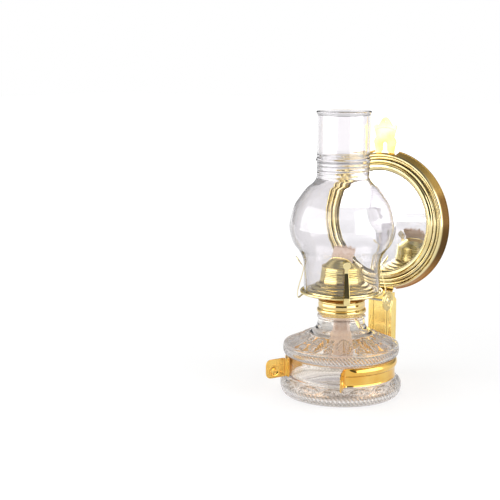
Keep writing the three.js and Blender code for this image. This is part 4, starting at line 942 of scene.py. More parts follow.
def rope_dust_and_shade(mesh):
    """How deep in a rope band's grooves each point lies, 0 to 1."""
    x, y, z = np.array([v.co for v in mesh.vertices]).T
    angle = np.arctan2(y, x)
    dust_and_shade = np.zeros(len(x))
    for band_low, band_high, strands, lean, _ in ROPES:
        strand = np.abs(np.cos((z * lean + angle * strands) / 2))
        inside = (z > band_low * MM) & (z < band_high * MM) & (np.hypot(x, y) > ROPE_R * MM)
        dust_and_shade = np.maximum(dust_and_shade, inside * (1 - strand))
    return dust_and_shade


font = font_walls()
print("open edges:", open_edges(font))
for band_low, band_high, strands, lean, depth in ROPES:
    font = grown(ROPE, font, Low=band_low * MM, High=band_high * MM, Strands=strands, Lean=lean,
                 Depth=depth * MM, Fade=ROPE_FADE * MM)
# Dust and painted shade along the grooves and the ridges' sides
leaf_dust_and_shade = np.maximum(press_shoulder(font, 1.0), press_foot(font, 0.6))
dust_and_shade = np.maximum(rope_dust_and_shade(font), leaf_dust_and_shade ** 1.6)
font.attributes.new("groove", "FLOAT", "POINT").data.foreach_set("value", dust_and_shade)
print("font points with dust in the pattern:", int((dust_and_shade > 0.5).sum()))
piece("pressed_font", font, "font", PRESSED, ["font_glass"], crease=60)

# %% [markdown]
# ## The collar
#
# Spun from thin brass and cemented on the font's spigot. The lower edge rolls out over the
# glass's neck in one bold bead, and its inside is rolled to the burner's thread.

# %% Make the collar
def collar_profile():
    """The bead, the waist and the rolled lip outside, the thread inside."""
    outer = through([(22.3, COLLAR_LOW), (22.6, COLLAR_LOW + 0.1), (22.8, COLLAR_LOW + 1.0),
                     (23.4, COLLAR_LOW + 1.9), (24.4, COLLAR_LOW + 2.9), (24.75, COLLAR_LOW + 4.3),
                     (24.4, COLLAR_LOW + 5.7), (23.6, COLLAR_LOW + 6.7), (23.2, COLLAR_LOW + 7.5),
                     (23.25, COLLAR_LOW + 9.0), (23.45, COLLAR_LOW + 10.3), (23.25, COLLAR_LOW + 11.6),
                     (23.1, COLLAR_TOP - 2.2), (23.4, COLLAR_TOP - 1.1), (23.25, COLLAR_TOP - 0.3),
                     (22.6, COLLAR_TOP)], 5)
    thread = [(21.25 + 0.2 * math.cos(i * math.pi), COLLAR_TOP - 0.6 - i * 0.75) for i in range(13)]
    return [*outer, (21.4, COLLAR_TOP), *thread, (22.2, thread[-1][1] - 0.1)]


piece("spun_collar", turned(collar_profile(), 160), "font", COLLAR_BRASS, ["font_collar"])

# %% [markdown]
# ## The burner
#
# The threaded shell screws into the collar and carries a short body. On it sits the gallery,
# a dish with a rolled rim for the chimney, and inside the chimney stands the flame
# spreader: a stepped brim, a cup with fine spun rings and a crown with the flame slot. All
# are spun sheet, so each is the section of a sheet turned round the axis. The slot and the
# hole for the wick shaft are cut through afterwards.

# %% The shell's profile and round bars
def shell_profile():
    """The threaded shell, its flange and the short body above."""
    flange_low = COLLAR_TOP + 0.3
    thread = [(20.4 + 0.2 * math.cos(i * math.pi), flange_low - 0.5 - i * 0.75) for i in range(11)]
    body = rounded([(22.9, flange_low), (22.9, flange_low + 0.6), (18.9, flange_low + 0.7),
                    (18.4, flange_low + 1.6), (18.6, flange_low + 5.2), (18.3, flange_low + 6.7)], 0.5)
    inside = rounded([(17.6, flange_low + 6.7), (17.8, flange_low + 1.0), (19.6, flange_low - 0.4),
                      (19.6, thread[-1][1])], 0.6)
    return [*thread[::-1], (20.6, flange_low), *body, *inside]


def rod(radius, length, segments=24, bevel=0.0):
    """A round bar along Z from zero, with its edges eased."""
    line = [(0, 0), (radius - bevel, 0), (radius, bevel), (radius, length - bevel),
            (radius - bevel, length), (0, length)]
    return turned(line if bevel else [(0, 0), (radius, 0), (radius, length), (0, length)], segments)


def along_x(mesh, x, y, z):
    """Lays a piece made along Z down along X, from a point in mm."""
    mesh.transform(Matrix.Translation((x * MM, y * MM, z * MM)) @ Matrix.Rotation(math.pi / 2, 4, "Y"))
    return mesh


def along_y(mesh, x, y, z):
    """Lays a piece made along Z down along Y, towards the front, from a point in mm."""
    mesh.transform(Matrix.Translation((x * MM, y * MM, z * MM)) @ Matrix.Rotation(math.pi / 2, 4, "X"))
    return mesh


print("shell profile:", len(shell_profile()), "points")

# %% Make the shell and body
shell = cut(turned(shell_profile(), 128), along_x(rod(2.2, 30), 5, SHAFT_Y, SHAFT_Z),
            along_x(rod(1.4, 30), -35, SHAFT_Y, SHAFT_Z))
# The shell's darker brass is painted shade
piece("burner_shell", outward(shell), "burner", SHADED_BODY_BRASS, ["burner_base"])


# %% Make the gallery
RIM_ROLL = 1.15  # radius of the rolled rim, mm


def gallery_profile():
    """The dish's sheet from the hole for the body to the end of its rolled rim."""
    rim = GALLERY_R - 1.2
    top = GALLERY_TOP - 1.2
    line = rounded([(18.95, 102.9), (24.0, 102.95), (25.0, 103.3), (29.0, 103.3), (30.0, 103.0),
                    (34.0, 103.2), (37.5, 103.55), (rim, 103.4)], 0.9)
    roll = [(rim + RIM_ROLL * math.sin(a), top - RIM_ROLL * math.cos(a))
            for a in np.linspace(0, 1.55 * math.pi, 14)]
    return sheet([*line[:-1], *roll], 0.55)


piece("spun_gallery", turned(gallery_profile(), 192), "burner", PALE, ["burner_gallery"])

# %% [markdown]
# The flame spreader steers the draught on to the flame. Its brim steps down like a stair, the
# cup is combed with fine rings by the spinning tool, and the slot in the crown has its edge
# turned up along both long sides. One closed section gives brim, cup and crown together.

# %% The flame spreader's shapes
SLOT_HALF = (14.2, 3.4)
CUP_RINGS = 0.22  # height of the fine rings, mm
CUP_TURNS = 8


def crown_height(radius):
    """Height of the crown's outside over a radius: a cone with a rounded top."""
    return CROWN - 0.25 - 9.3 * (0.5 * (math.hypot(radius - 9.0, 3.2) + radius - 9.0) / 10.9) ** 1.15


def dome_profile():
    """The spreader's sheet from the top of the crown out to the brim."""
    brim = rounded([(35.4, BRIM + 0.3), (34.9, BRIM + 1.5), (33.9, BRIM + 2.3), (32.4, BRIM + 2.5),
                    (31.4, BRIM + 3.0), (30.9, BRIM + 4.2), (29.6, BRIM + 4.9), (27.9, BRIM + 5.2),
                    (27.0, BRIM + 5.9), (26.5, BRIM + 7.1), (25.1, BRIM + 7.8), (23.6, BRIM + 8.1),
                    (22.5, BRIM + 9.0), (22.2, BRIM + 10.2)], 0.7)
    cup = []
    for i in range(61):
        t = i / 60
        ring = CUP_RINGS * math.sin(t * CUP_TURNS * TAU) * math.sin(t * math.pi)
        cup.append((22.0 - 2.2 * t ** 0.8 + ring, BRIM + 10.6 + (CROWN - BRIM - 20.2) * t))
    edge = rounded([(19.9, CROWN - 9.5), (20.1, CROWN - 8.9), (19.8, CROWN - 8.5), (19.2, CROWN - 8.6),
                    (18.8, crown_height(18.8) - 0.25)], 0.3)
    steps = (18.2, 17.0, 15.5, 14.0, 12.5, 11.0, 9.5, 8.0, 6.0, 4.0, 2.0, 0)
    crown = [(r, crown_height(r) - 0.25) for r in steps]
    return sheet([*crown[::-1], *edge[::-1], *cup[::-1], *brim[::-1]], 0.5)


def block(x0, y0, z0, x1, y1, z1):
    """A plain block between two corners."""
    corners = [(x, y, z) for x in (x0, x1) for y in (y0, y1) for z in (z0, z1)]
    return from_faces(corners, [(0, 1, 3, 2), (4, 6, 7, 5), (0, 4, 5, 1), (2, 3, 7, 6), (0, 2, 6, 4),
                                (1, 5, 7, 3)])


def slot_lip(side):
    """The turned-up edge along one long side of the flame slot."""
    vertices = []
    steps = 24
    for i in range(steps + 1):
        x = SLOT_HALF[0] * (2 * i / steps - 1)
        z = crown_height(math.hypot(x, SLOT_HALF[1]))
        for y, lift in ((3.3, -0.5), (3.9, -0.5), (3.75, 0.25), (3.35, 0.25)):
            vertices.append((x, side * y, z + lift))
    faces = grid_faces(steps + 1, 4, closed=True)
    faces += [(3, 2, 1, 0), tuple(4 * steps + j for j in range(4))]
    return outward(from_faces(vertices, faces))


print("flame spreader's profile:", len(dome_profile()), "points")

# %% Make the flame spreader
x_half, y_half = SLOT_HALF
dome = cut(turned(dome_profile(), 144), block(-x_half, -y_half, CROWN - 7.4, x_half, y_half, CROWN + 5))
dome = joined([outward(dome), slot_lip(1), slot_lip(-1)])
piece("flame_spreader", dome, "burner", SPUN, ["burner_dome"], crease=25)

# %% [markdown]
# ## The wick and its raiser
#
# The wick is a flat woven tape that hangs in the oil and comes out of the crown's slot. Its
# top has been cut and has frayed, and it leans back over the slot's edge. The tape is a
# rounded strip along a bent line: real cloth follows no rule, so its folds are written as
# waves. Below the gallery two spur wheels grip the wick, and a toothed knob turns them.

# %% The wick's line
WICK_LOW = low("wick", "z")
WICK_TOP = high("wick", "z")
WICK_HALF = high("wick", "x")
WICK_SLACK = 88.0  # mm up: below this it hangs loose and gathers into folds
WICK_LEAN = 6.2  # mm back at the very top


def wick_centre(z):
    """How far back the tape leans, in mm, at a height."""
    over = max(0.0, z - (CROWN - 1.0)) / (WICK_TOP - CROWN + 1.0)
    return WICK_LEAN * over ** 1.25


def wick_top(x):
    """The cut end is slanted and uneven."""
    return WICK_TOP - 1.0 - 0.9 * (x / WICK_HALF) ** 2 - 0.06 * x + 0.5 * math.sin(1.1 * x)


print(f"the wick leans back {wick_centre(WICK_TOP):.1f} mm at its top")


# %% The wick's tape
def tape():
    """The woven strip, row by row from its low end to the cut top."""
    across, rows = 44, 96
    vertices = []
    for i in range(rows + 1):
        for j in range(across):
            a = TAU * j / across
            bend = 0.35
            x = WICK_HALF * math.copysign(abs(math.cos(a)) ** bend, math.cos(a))
            y = 1.3 * math.copysign(abs(math.sin(a)) ** 0.7, math.sin(a))
            z = WICK_LOW + (wick_top(x) - WICK_LOW) * i / rows
            flare = 1 + 0.04 * max(0.0, z - CROWN) / 10
            slack = min(1.0, max(0.0, (WICK_SLACK - z) / 14))
            gather = 1 - 0.16 * slack * (1 - 2.2 * min(1.0, max(0.0, (WICK_SLACK - 18 - z) / 12)))
            wave = slack * (1.7 * math.sin(x * 0.42 + 0.6) + 0.8 * math.sin(x * 0.95 + z * 0.09))
            cockle = 0.25 * math.sin(x * 0.9 + z * 0.05)
            vertices.append((x * flare * gather, y + wick_centre(z) + wave + cockle, z))
    faces = grid_faces(rows + 1, across, closed=True)
    faces += [tuple(range(across))[::-1], tuple(rows * across + j for j in range(across))]
    return outward(from_faces(vertices, faces))


print(f"the tape is {2 * WICK_HALF:.1f} mm wide")
# %% [markdown]
# A cut tape sheds short threads from its edge. They are alike and lie by chance, so a
# geometry tree scatters copies of one bent thread along a line. Five short lines follow the
# slanted top, and each has its own seed.

# %% The tree of frayed threads
THREAD_LEAN = (0.5, 0.6, 3.1)  # how far a thread may lean to a side and turn, radians
def fray_tree():
    """Sets bent threads at random along a line from Start to End."""
    sizes = {"Count": "NodeSocketInt", "Start": "NodeSocketVector", "End": "NodeSocketVector",
             "Spread": "NodeSocketFloat", "Seed": "NodeSocketInt"}
    tree, given = new_tree("Frayed threads", sizes)
    points = add(tree, "GeometryNodePoints", {"Count": given["Count"]}, out=0)
    along = add(tree, "FunctionNodeRandomValue", {"Seed": given["Seed"]}, out=1, data_type="FLOAT")
    place = add(tree, "ShaderNodeMix", {0: along, 4: given["Start"], 5: given["End"]}, out=1,
                data_type="VECTOR")
    jitter = add(tree, "FunctionNodeRandomValue", {0: (-1, -1, -1), 1: (1, 1, 1), "Seed": given["Seed"]},
                 out=0, data_type="FLOAT_VECTOR")
    jitter = add(tree, "ShaderNodeVectorMath", {0: jitter, "Scale": given["Spread"]}, out=0,
                 operation="SCALE")
    place = add(tree, "ShaderNodeVectorMath", {0: place, 1: jitter}, out=0, operation="ADD")
    spread = add(tree, "GeometryNodeSetPosition", {"Geometry": points, "Position": place}, out=0)
    turns = {0: tuple(-lean for lean in THREAD_LEAN), 1: THREAD_LEAN, "Seed": given["Seed"]}
    turn = add(tree, "FunctionNodeRandomValue", turns, out=0, data_type="FLOAT_VECTOR")
    size = add(tree, "FunctionNodeRandomValue", {2: 0.5, 3: 1.3, "Seed": given["Seed"]}, out=1,
               data_type="FLOAT")
    threads = add(tree, "GeometryNodeInstanceOnPoints",
                  {"Points": spread, "Instance": given["Geometry"], "Rotation": turn, "Scale": size}, out=0)
    return end_tree(tree, given, threads)


FRAY = fray_tree()
print("tree:", FRAY.name, "with", len(FRAY.nodes), "nodes")


# %% Make the wick
def thread():
    """A short bent thread, three-sided, tapering to its tip."""
    vertices = []
    for i in range(4):
        t = i / 3
        for j in range(3):
            a = TAU * j / 3
            reach = 0.2 * (1 - 0.6 * t)
            vertices.append((reach * math.cos(a) + 0.9 * t * t, reach * math.sin(a), 2.6 * t))
    return from_faces(vertices, [*grid_faces(4, 3, closed=True), (2, 1, 0), (9, 10, 11)])


def top_point(x, drop=0.6):
    """A point just under the tape's cut end."""
    z = wick_top(x) - drop
    return Vector((x * MM, wick_centre(z) * MM, z * MM))


FRAY_RUN = 4.9  # mm of the top for each seed
frayed = [grown(FRAY, thread(), Count=34, Start=top_point(x), End=top_point(x + FRAY_RUN),
                Spread=0.7 * MM, Seed=i) for i, x in enumerate((-12.4, -7.4, -2.4, 2.6, 7.5))]
piece("woven_wick", joined([tape(), *frayed]), "wick", COTTON, ["wick"], crease=80)

# %% [markdown]
# The knob is a stamped brass disc with a flower of eight petals and a toothed edge for the
# thumb. Disc and hub are turned from profiles. One petal and one tooth are made, and the
# ring tree repeats them. The shaft is drawn steel wire and runs in a small brass bush.

# %% The knob's shapes
KNOB_X = high("wick_knob", "x")
KNOB_R = (high("wick_knob", "z") - low("wick_knob", "z")) / 2 + 0.9
KNOB_TEETH, KNOB_PETALS = 26, 8
PETAL_START = 3.0  # mm from the knob's axis


def knob_disc():
    """A stamped disc: a beaded edge, a ring and a raised centre on both faces."""
    half = 0.8
    face = [(0, 1.5), (2.3, 1.5), (2.8, 1.1), (3.2, 0.75), (5.6, 0.75), (6.0, 1.05), (6.6, 1.05), (7.0, 0.7),
            (8.2, 0.6), (8.5, half), (8.75, 0.5)]
    front = [(r * KNOB_R / 9.2, h) for r, h in face]
    back = [(r, -h) for r, h in front[1:]][::-1]
    return turned([*front, *back, (0, -1.5)], 96)


def petal(length, width, lift):
    """A raised petal pointing along X."""
    middle, base = PETAL_START + length / 2, 0.4
    vertices = [(PETAL_START, 0, base), (middle, width, base), (PETAL_START + length, 0, base),
                (middle, -width, base), (middle, 0, lift)]
    return from_faces(vertices, [(0, 1, 4), (1, 2, 4), (2, 3, 4), (3, 0, 4), (3, 2, 1, 0)])


print(f"the knob is {2 * KNOB_R:.1f} mm across")

# %% Make the knob and shaft
tooth = finished(block(KNOB_R - 1.0, -0.55, -0.6, KNOB_R, 0.55, 0.6), broken_edges(0.3))
hub = rod(2.6, 2.8, 32, 0.4)
hub.transform(Matrix.Translation((0, 0, -3.4 * MM)))
teeth = grown(RING, tooth, Count=KNOB_TEETH, Start=0.0)
petals = grown(RING, petal(3.2, 1.1, 1.5), Count=KNOB_PETALS, Start=0.0)
knob = along_x(joined([knob_disc(), hub, teeth, petals]), KNOB_X - 0.85, SHAFT_Y, SHAFT_Z)
piece("stamped_knob", knob, "wick_raiser", KNOB_BRASS, ["wick_knob"], crease=30)
shaft_low, shaft_high = low("knob_shaft", "x"), high("knob_shaft", "x")
shaft = along_x(rod(1.05, shaft_high - shaft_low, 24, 0.3), shaft_low, SHAFT_Y, SHAFT_Z)
piece("drawn_shaft", shaft, "wick_raiser", STEEL, ["knob_shaft"])
bush_line = rounded([(1.4, 0), (1.9, 0), (1.9, 7.2), (2.2, 7.4), (2.2, 8.0), (1.4, 8.0)], 0.2)
bush = along_x(turned(bush_line, 32), low("shaft_bush", "x"), SHAFT_Y, SHAFT_Z)
piece("brass_bush", bush, "burner", GOLD, ["shaft_bush"])

# %% [markdown]
# ## The chimney prongs
#
# Four strips of springy brass are riveted under the gallery, hook round its rim and lean in
# on the chimney. Each narrows upwards, has a small crimp where it touches the glass, and
# ends in a round, dished tip that turns out for a thumb. One prong is swept along its line,
# and the ring tree sets it and its rivet at each angle, one mesh for each body.

# %% The prong's strip
PRONG_AT = [math.radians(38.7 + 90 * i) for i in range(4)]
PRONG_RIVET_R = 32.5
PRONG_FOOT = 102.05  # mm up, under the gallery


def prong_line(lean, rise):
    """(distance out, height) from foot to tip. Lean is 1 or less, rise lifts the crimp."""
    foot = PRONG_FOOT
    hook = through([(35.6, foot), (39.5, foot - 0.9), (42.0, foot - 3.0), (43.4, foot - 3.7),
                    (44.3, foot - 2.9), (44.5, foot - 0.4), (44.2, 106.2)], 8)
    blade = through([(44.2, 106.2), (42.4, 113.0), (40.3, 120.0 + 0.5 * rise), (38.9, 125.6 + rise),
                     (38.55, 127.9 + rise), (39.0, 129.6 + rise)], 8)
    tip = through([(39.0 + lean * out, 129.6 + rise + (1.2 - 0.2 * lean - rise / 10.6) * up)
                   for out, up in ((0, 0), (1.0, 2.0), (2.9, 5.0), (5.0, 8.0), (7.0, 10.6))], 6)
    return divided([(30.1, foot), (35.6, foot), *hook[1:], *blade[1:], *tip[1:]], 1.0)


def prong_width(z, out, tip_low, tip_high):
    """Half width of the strip."""
    tip_r = 0.5 * (tip_high - tip_low) + 0.2
    if z > tip_low:
        t = (z - tip_low) / (tip_high - tip_low) * 2 * tip_r
        return max(math.sqrt(max(0.0, tip_r ** 2 - (t - tip_r) ** 2)), 0.8 if t > tip_r else 1.9)
    return 3.0 - 1.2 * max(0.0, z - 105.0) / (tip_low - 105.0) if out > 40 or z > 103 else 3.0


print("the prong's line has", len(prong_line(1.0, 0.0)), "points")


# %% The prong and its rivet
def prong(lean, rise=0.0):
    """The strip swept along its line, dished at the tip."""
    line = np.array(prong_line(lean, rise))
    along = np.gradient(line, axis=0)
    along /= np.linalg.norm(along, axis=1)[:, None]
    across = 8
    vertices = []
    for (out, z), (d_out, d_z) in zip(line, along):
        half = prong_width(z, out, 131.6 + rise, line[-1][1])
        dish = 0.75 if z > 132.5 else 0.0
        for j in range(across + 1):
            u = 2 * j / across - 1
            cup = dish * (u * u) * half / 4.5
            vertices.append((u * half, -(out + cup * d_z), z - cup * d_out))
    strip = from_faces(vertices, grid_faces(len(line), across + 1))
    return outward(finished(strip, thickened(0.5), broken_edges(0.1, limit_method="ANGLE")))


def rivet(shank, head_r, head, low_end, high_end):
    """A rivet along Z with a domed head at each end."""
    dome_low = [(0, low_end), (0.7 * head_r, low_end + 0.25 * head), (head_r, low_end + head)]
    dome_high = [(head_r, high_end - head), (0.7 * head_r, high_end - 0.25 * head), (0, high_end)]
    return turned([*dome_low, (shank, low_end + head), (shank, high_end - head), *dome_high], 20)


print(f"a prong is {2 * prong_width(105.0, 44.0, 131.6, 140.0):.1f} mm wide at the rim")

# %% Make the prongs
# The first stands a little straighter and higher than the others, as bent by hand
prong_meshes = [prong(0.5, rise=2.2), *[prong(1.0)] * 3]
prong_rivet = rivet(1.0, 1.8, 0.7, 101.0, high("prong_rivet_1", "z"))
prong_rivet.transform(Matrix.Translation((0, -PRONG_RIVET_R * MM, 0)))
for number, angle in enumerate(PRONG_AT, 1):
    strip = grown(RING, prong_meshes[number - 1], Count=1, Start=angle)
    piece(f"spring_prong_{number}", strip, f"prong_{number}", PALE,
          [f"chimney_prong_{number}"])
    foot = grown(RING, prong_rivet, Count=1, Start=angle)
    piece(f"foot_rivet_{number}", foot, "burner", PALE, [f"prong_rivet_{number}"])

# %% [markdown]
# ## The chimney
#
# Blown in a mould and cut off at the top, then the lip is rolled in a flame. From its foot it
# swells to the bulb round the flame, pinches in and goes up as a plain stack. A few rings
# stiffen the pinch. The wall is thin, so it is turned as a true wall with two sides: the
# thin dark outline and the long highlights come from that.

# %% The chimney's wall
CHIMNEY_WALL = 1.8
RING_RUN = (115.0, 22.5)  # mm above the foot where the ringed part starts, and its height
LARGE_RING = 131.6
SMALL_RINGS = (118.2, 122.6, 127.0, 136.0)


def chimney_profile():
    """Both sides of the wall: up the outside, over the lip and down the inside."""
    foot = CHIMNEY_FOOT
    swell = through([(38.0, 20.0), (38.15, 26.0), (39.2, 32.8), (42.6, 40.5), (48.6, 48.3), (51.9, 58.2),
                     (52.7, 68.0), (48.6, 84.6), (43.2, 93.8), (36.2, 103.0), (29.9, 108.5), (26.9, 112.6),
                     (26.35, 115.0)], 6)
    rings = []
    for i in range(73):
        h = RING_RUN[0] + RING_RUN[1] * i / 72
        large = 1.35 * math.exp(-((h - LARGE_RING) / 1.9) ** 2)
        small = sum(0.33 * math.exp(-((h - at) / 1.4) ** 2) for at in SMALL_RINGS)
        rings.append((25.95 + 0.4 * math.exp(-(h - RING_RUN[0]) / 1.5) + large + small, h))
    top = CHIMNEY_TOP - foot
    lip = through([(25.9, top - 6.0), (25.95, top - 4.0), (26.4, top - 2.6), (27.1, top - 1.6),
                   (27.1, top - 0.6), (26.4, top), (25.4, top - 0.1), (24.5, top - 1.0),
                   (24.2, top - 3.0), (24.1, top - 6.0)], 5)
    inner = [(max(r - CHIMNEY_WALL, 24.1), h) for r, h in swell][::-1]
    outside = divided([(38.0, 1.2), *swell, *rings[1:], lip[0]], 2.0)
    inside = divided([lip[-1], *inner, (36.2, 1.2)], 2.0)
    line = [(37.5, 0.05), (37.85, 0.2), (38.0, 0.6), *outside, *lip[1:],
            *inside[1:], (36.2, 0.6), (36.35, 0.2), (36.7, 0.05)]
    return [(r, foot + h) for r, h in line]


print("chimney profile:", len(chimney_profile()), "points")

# %% Make the chimney
chimney = turned(chimney_profile(), 128)
piece("blown_chimney", chimney, "chimney", BLOWN, ["chimney_glass"], crease=60)

# %% [markdown]
# ## The spring clip
#
# A strap of thick brass sheet is pressed with a bead along its upper half and bent round the
# font's waist. Its two ends turn out as finger tabs, each with a stiffening ridge at the
# bend and a round boss pressed near its end. Each arm is one sheet: the strap's section runs
# along a bent path and flattens into the tab. The back is a short arc of a turned ring.

# %% The strap
STRAP_R = 54.2  # of the plain band's sheet, at its middle
STRAP_SHEET = 0.8
# (how far out from that circle, height) in mm, from the lower edge up over the bead
STRAP_SECTION = divided(rounded([(0.5, 20.0), (0.0, 21.2), (0.0, 30.2), (0.9, 30.9), (1.8, 32.2),
                                 (2.25, 34.2), (1.9, 36.2), (1.1, 37.5), (0.3, 38.2), (0.5, 38.8)],
                                0.8), 0.7)
CLIP_END = math.radians(164.7)  # where an arm starts at the back, from the front
BEND_AT, BEND_R = math.radians(38.8), 2.5  # where the strap ends, and the bend's radius
TAB_TO = math.radians(22.4)  # the way the tab points, from the front
TAB_RUN = 26.4  # its length past the bend
TAB_LOW, TAB_ROOT, TAB_HIGH, TAB_CORNER = 21.2, 38.2, 40.4, 5.5


def eased(t):
    """Zero to one with a soft start and end."""
    t = min(1.0, max(0.0, t))
    return t * t * (3 - 2 * t)


def arm_path():
    """(x, y, angle of the outer face, how far past the bend) along the right arm from the back."""
    path = [(STRAP_R * math.sin(a), -STRAP_R * math.cos(a), a, None)
            for a in np.linspace(CLIP_END, BEND_AT, 86)]
    turn = TAB_TO + math.pi / 2 - BEND_AT
    centre = (STRAP_R + BEND_R) * np.array([math.sin(BEND_AT), -math.cos(BEND_AT)])
    for i in range(1, 13):
        a = BEND_AT + turn * i / 12
        path.append((centre[0] - BEND_R * math.sin(a), centre[1] + BEND_R * math.cos(a), a, 0.0))
    x, y, face, _ = path[-1]
    return path + [(x + u * math.sin(TAB_TO), y - u * math.cos(TAB_TO), face, u)
                   for u in np.linspace(0.5, TAB_RUN, 54)]


print("strap section:", len(STRAP_SECTION), "points; arm path:", len(arm_path()), "points")

# %% The arm and its finger tab
STIFFENER_AT = 3.4  # mm past the bend
BOSS_AT = (16.6, -2.6)  # mm past the bend and up from the tab's middle


def tab_relief(u, v):
    """How far the tab stands out of its plane: u past the bend, v up from its middle."""
    stiffener = 1.0 * math.exp(-((u - STIFFENER_AT) / 1.2) ** 2)
    r = math.hypot(u - BOSS_AT[0], v - BOSS_AT[1])
    boss = 1.3 / (1 + math.exp((r - 4.2) / 0.28)) - 0.5 / (1 + math.exp((r - 2.2) / 0.5))
    return stiffener + boss


def clip_arm():
    """The right arm and its finger tab: one sheet bent along its path."""
    vertices = []
    rows = len(STRAP_SECTION)
    path = arm_path()
    for x, y, face, u in path:
        bead = eased((face - BEND_AT) / math.radians(9)) if u is None else 0.0
        flat = 0.0 if u is None else eased((u + 0.5) / 4.0)
        past = u or 0.0
        top = TAB_ROOT + (TAB_HIGH - TAB_ROOT) * eased((past - 2.0) / 4.0)
        drop = TAB_CORNER - math.sqrt(TAB_CORNER ** 2 - max(0.0, past - TAB_RUN + TAB_CORNER) ** 2)
        for j, (out, z) in enumerate(STRAP_SECTION):
            tab_z = TAB_LOW + drop + (top - TAB_LOW - 2 * drop) * j / (rows - 1)
            out *= bead if out > 0.5 else 1 - flat
            out += flat * tab_relief(past, tab_z - (TAB_LOW + TAB_HIGH) / 2)
            vertices.append((x + out * math.sin(face), y - out * math.cos(face), z + (tab_z - z) * flat))
    faces = [(a, d, c, b) for a, b, c, d in grid_faces(len(path), rows)]
    return outward(finished(from_faces(vertices, faces), thickened(STRAP_SHEET),
                            broken_edges(0.2, limit_method="ANGLE")))


print(f"the tab's boss stands {tab_relief(*BOSS_AT):.2f} mm out")


# %% Make the clip
def bore_y(radius, length, x, y, z):
    """A round cutter from a point in mm towards the front."""
    return along_y(rod(radius, length), x, y, z)


CLIP_RIVET_Z = 25.6
RIVET_BORE = 1.4  # radius of the holes for the rivets in strap and standoff, mm
BACK_FROM, BACK_TURN = math.radians(74.9), math.radians(30.2)
for side, name, body in ((-1, "clip_arm_left", "clip_left"), (1, "clip_arm_right", "clip_right")):
    arm = clip_arm()
    arm.transform(Matrix.Diagonal((side, 1, 1, 1)))
    piece(f"spring_{name}", outward(arm), body, STRAP, [name], crease=30)
strap_ring = [(STRAP_R + out, z) for out, z in STRAP_SECTION]
back = turned(sheet(strap_ring, STRAP_SHEET), 24, start=BACK_FROM, turn=BACK_TURN)
back = cut(back, bore_y(RIVET_BORE, 20, 0, 65, CLIP_RIVET_Z))
piece("strap_back", outward(back), "bracket", STRAP, ["clip_back"])

# %% [markdown]
# ## The standoff and rivets
#
# A short box bent from brass strip holds the clip out from the bracket, so that the font's
# foot clears the wall. One rivet joins it to the strap and two join it to the bracket. The
# rivets behind the mirror are of the same kind. The box is a wall between two rounded
# outlines, which keeps its sheet even round the corners, and a rivet is turned.

# %% The standoff's walls
def loop_plate(outline, hole, z0, z1):
    """An upright wall between two closed outlines."""
    count = len(outline)
    rings = [(outline, z0), (outline, z1), (hole, z1), (hole, z0)]
    vertices = [(x, y, z) for ring, z in rings for x, y in ring]
    faces = []
    for k in range(4):
        for i in range(count):
            j, m = (i + 1) % count, (k + 1) % 4
            faces.append((k * count + i, k * count + j, m * count + j, m * count + i))
    return outward(from_faces(vertices, faces))


def round_box(x_half, y0, y1, corner):
    """A closed outline with round corners."""
    line = []
    for cx, cy, first in ((x_half, y1, 0), (-x_half, y1, 1), (-x_half, y0, 2), (x_half, y0, 3)):
        for i in range(7):
            a = (first + i / 6) * math.pi / 2
            line.append((cx - math.copysign(corner, cx) + corner * math.cos(a),
                         cy + (corner if first > 1 else -corner) + corner * math.sin(a)))
    return line


print("round box:", len(round_box(6.5, 0, 10, 1.6)), "corners")


# %% Make the standoff and the rivets
def rivet_y(node, heads):
    """A rivet along Y in the place of a CAD rivet, with a head at its low and high end or not."""
    y0, y1 = low(node, "y"), high(node, "y")
    z = (low(node, "z") + high(node, "z")) / 2
    ends = [[(0, y0), (1.25, y0 + 0.2), (1.8, y0 + 0.7), (1.1, y0 + 0.7)], [(0, y0), (1.1, y0)]]
    tops = [[(1.1, y1 - 0.7), (1.8, y1 - 0.7), (1.25, y1 - 0.2), (0, y1)], [(1.1, y1), (0, y1)]]
    return turned([*ends[not heads[0]], *tops[not heads[1]]], 24, axis_y=z)


HEAD_R = 1.8
so_y0, so_y1 = low("clip_standoff", "y"), high("clip_standoff", "y")
outer = round_box(6.5, so_y0, so_y1, 1.6)
inner = round_box(5.6, so_y0 + 0.9, so_y1 - 0.9, 0.7)
standoff = loop_plate(outer, inner, low("clip_standoff", "z"), high("clip_standoff", "z"))
places = ((CLIP_RIVET_Z, so_y0), (low("standoff_rivet_upper", "z") + HEAD_R, so_y1),
          (low("standoff_rivet_lower", "z") + HEAD_R, so_y1))
holes = [bore_y(RIVET_BORE, 6, 0, y + 3, z) for z, y in places]
piece("bent_standoff", outward(cut(standoff, *holes)), "bracket", GOLD, ["clip_standoff"])
for node, heads in (("clip_rivet", (False, True)), ("standoff_rivet_upper", (True, True)),
                    ("standoff_rivet_lower", (True, True)), ("reflector_rivet_upper", (True, True)),
                    ("reflector_rivet_lower", (True, True))):
    piece(f"domed_{node}", rivet_y(node, heads), "bracket", GOLD, [node])

# %% [markdown]
# ## The wall bracket
#
# One strip of brass sheet makes the whole bracket. Below the mirror it is a channel with two
# pressed beads and side flanges that stand on the wall. Above, it steps back, runs flat
# behind the mirror and ends as a leaf-shaped hanger with a keyhole. Side and front outlines
# are extruded and kept where they meet, as a press tool would cut and bend the strip.

# %% Plates and curved outlines
def prism(outline, axis, start, end):
    """A flat outline extruded along X or Y. Outlines are (y, z) or (x, z)."""
    count = len(outline)
    vertices = [((d, a, b) if axis == "x" else (a, d, b)) for d in (start, end) for a, b in outline]
    sides = [(i, (i + 1) % count, count + (i + 1) % count, count + i) for i in range(count)]
    return outward(from_faces(vertices, [*sides, tuple(range(count))[::-1], tuple(range(count, 2 * count))]))


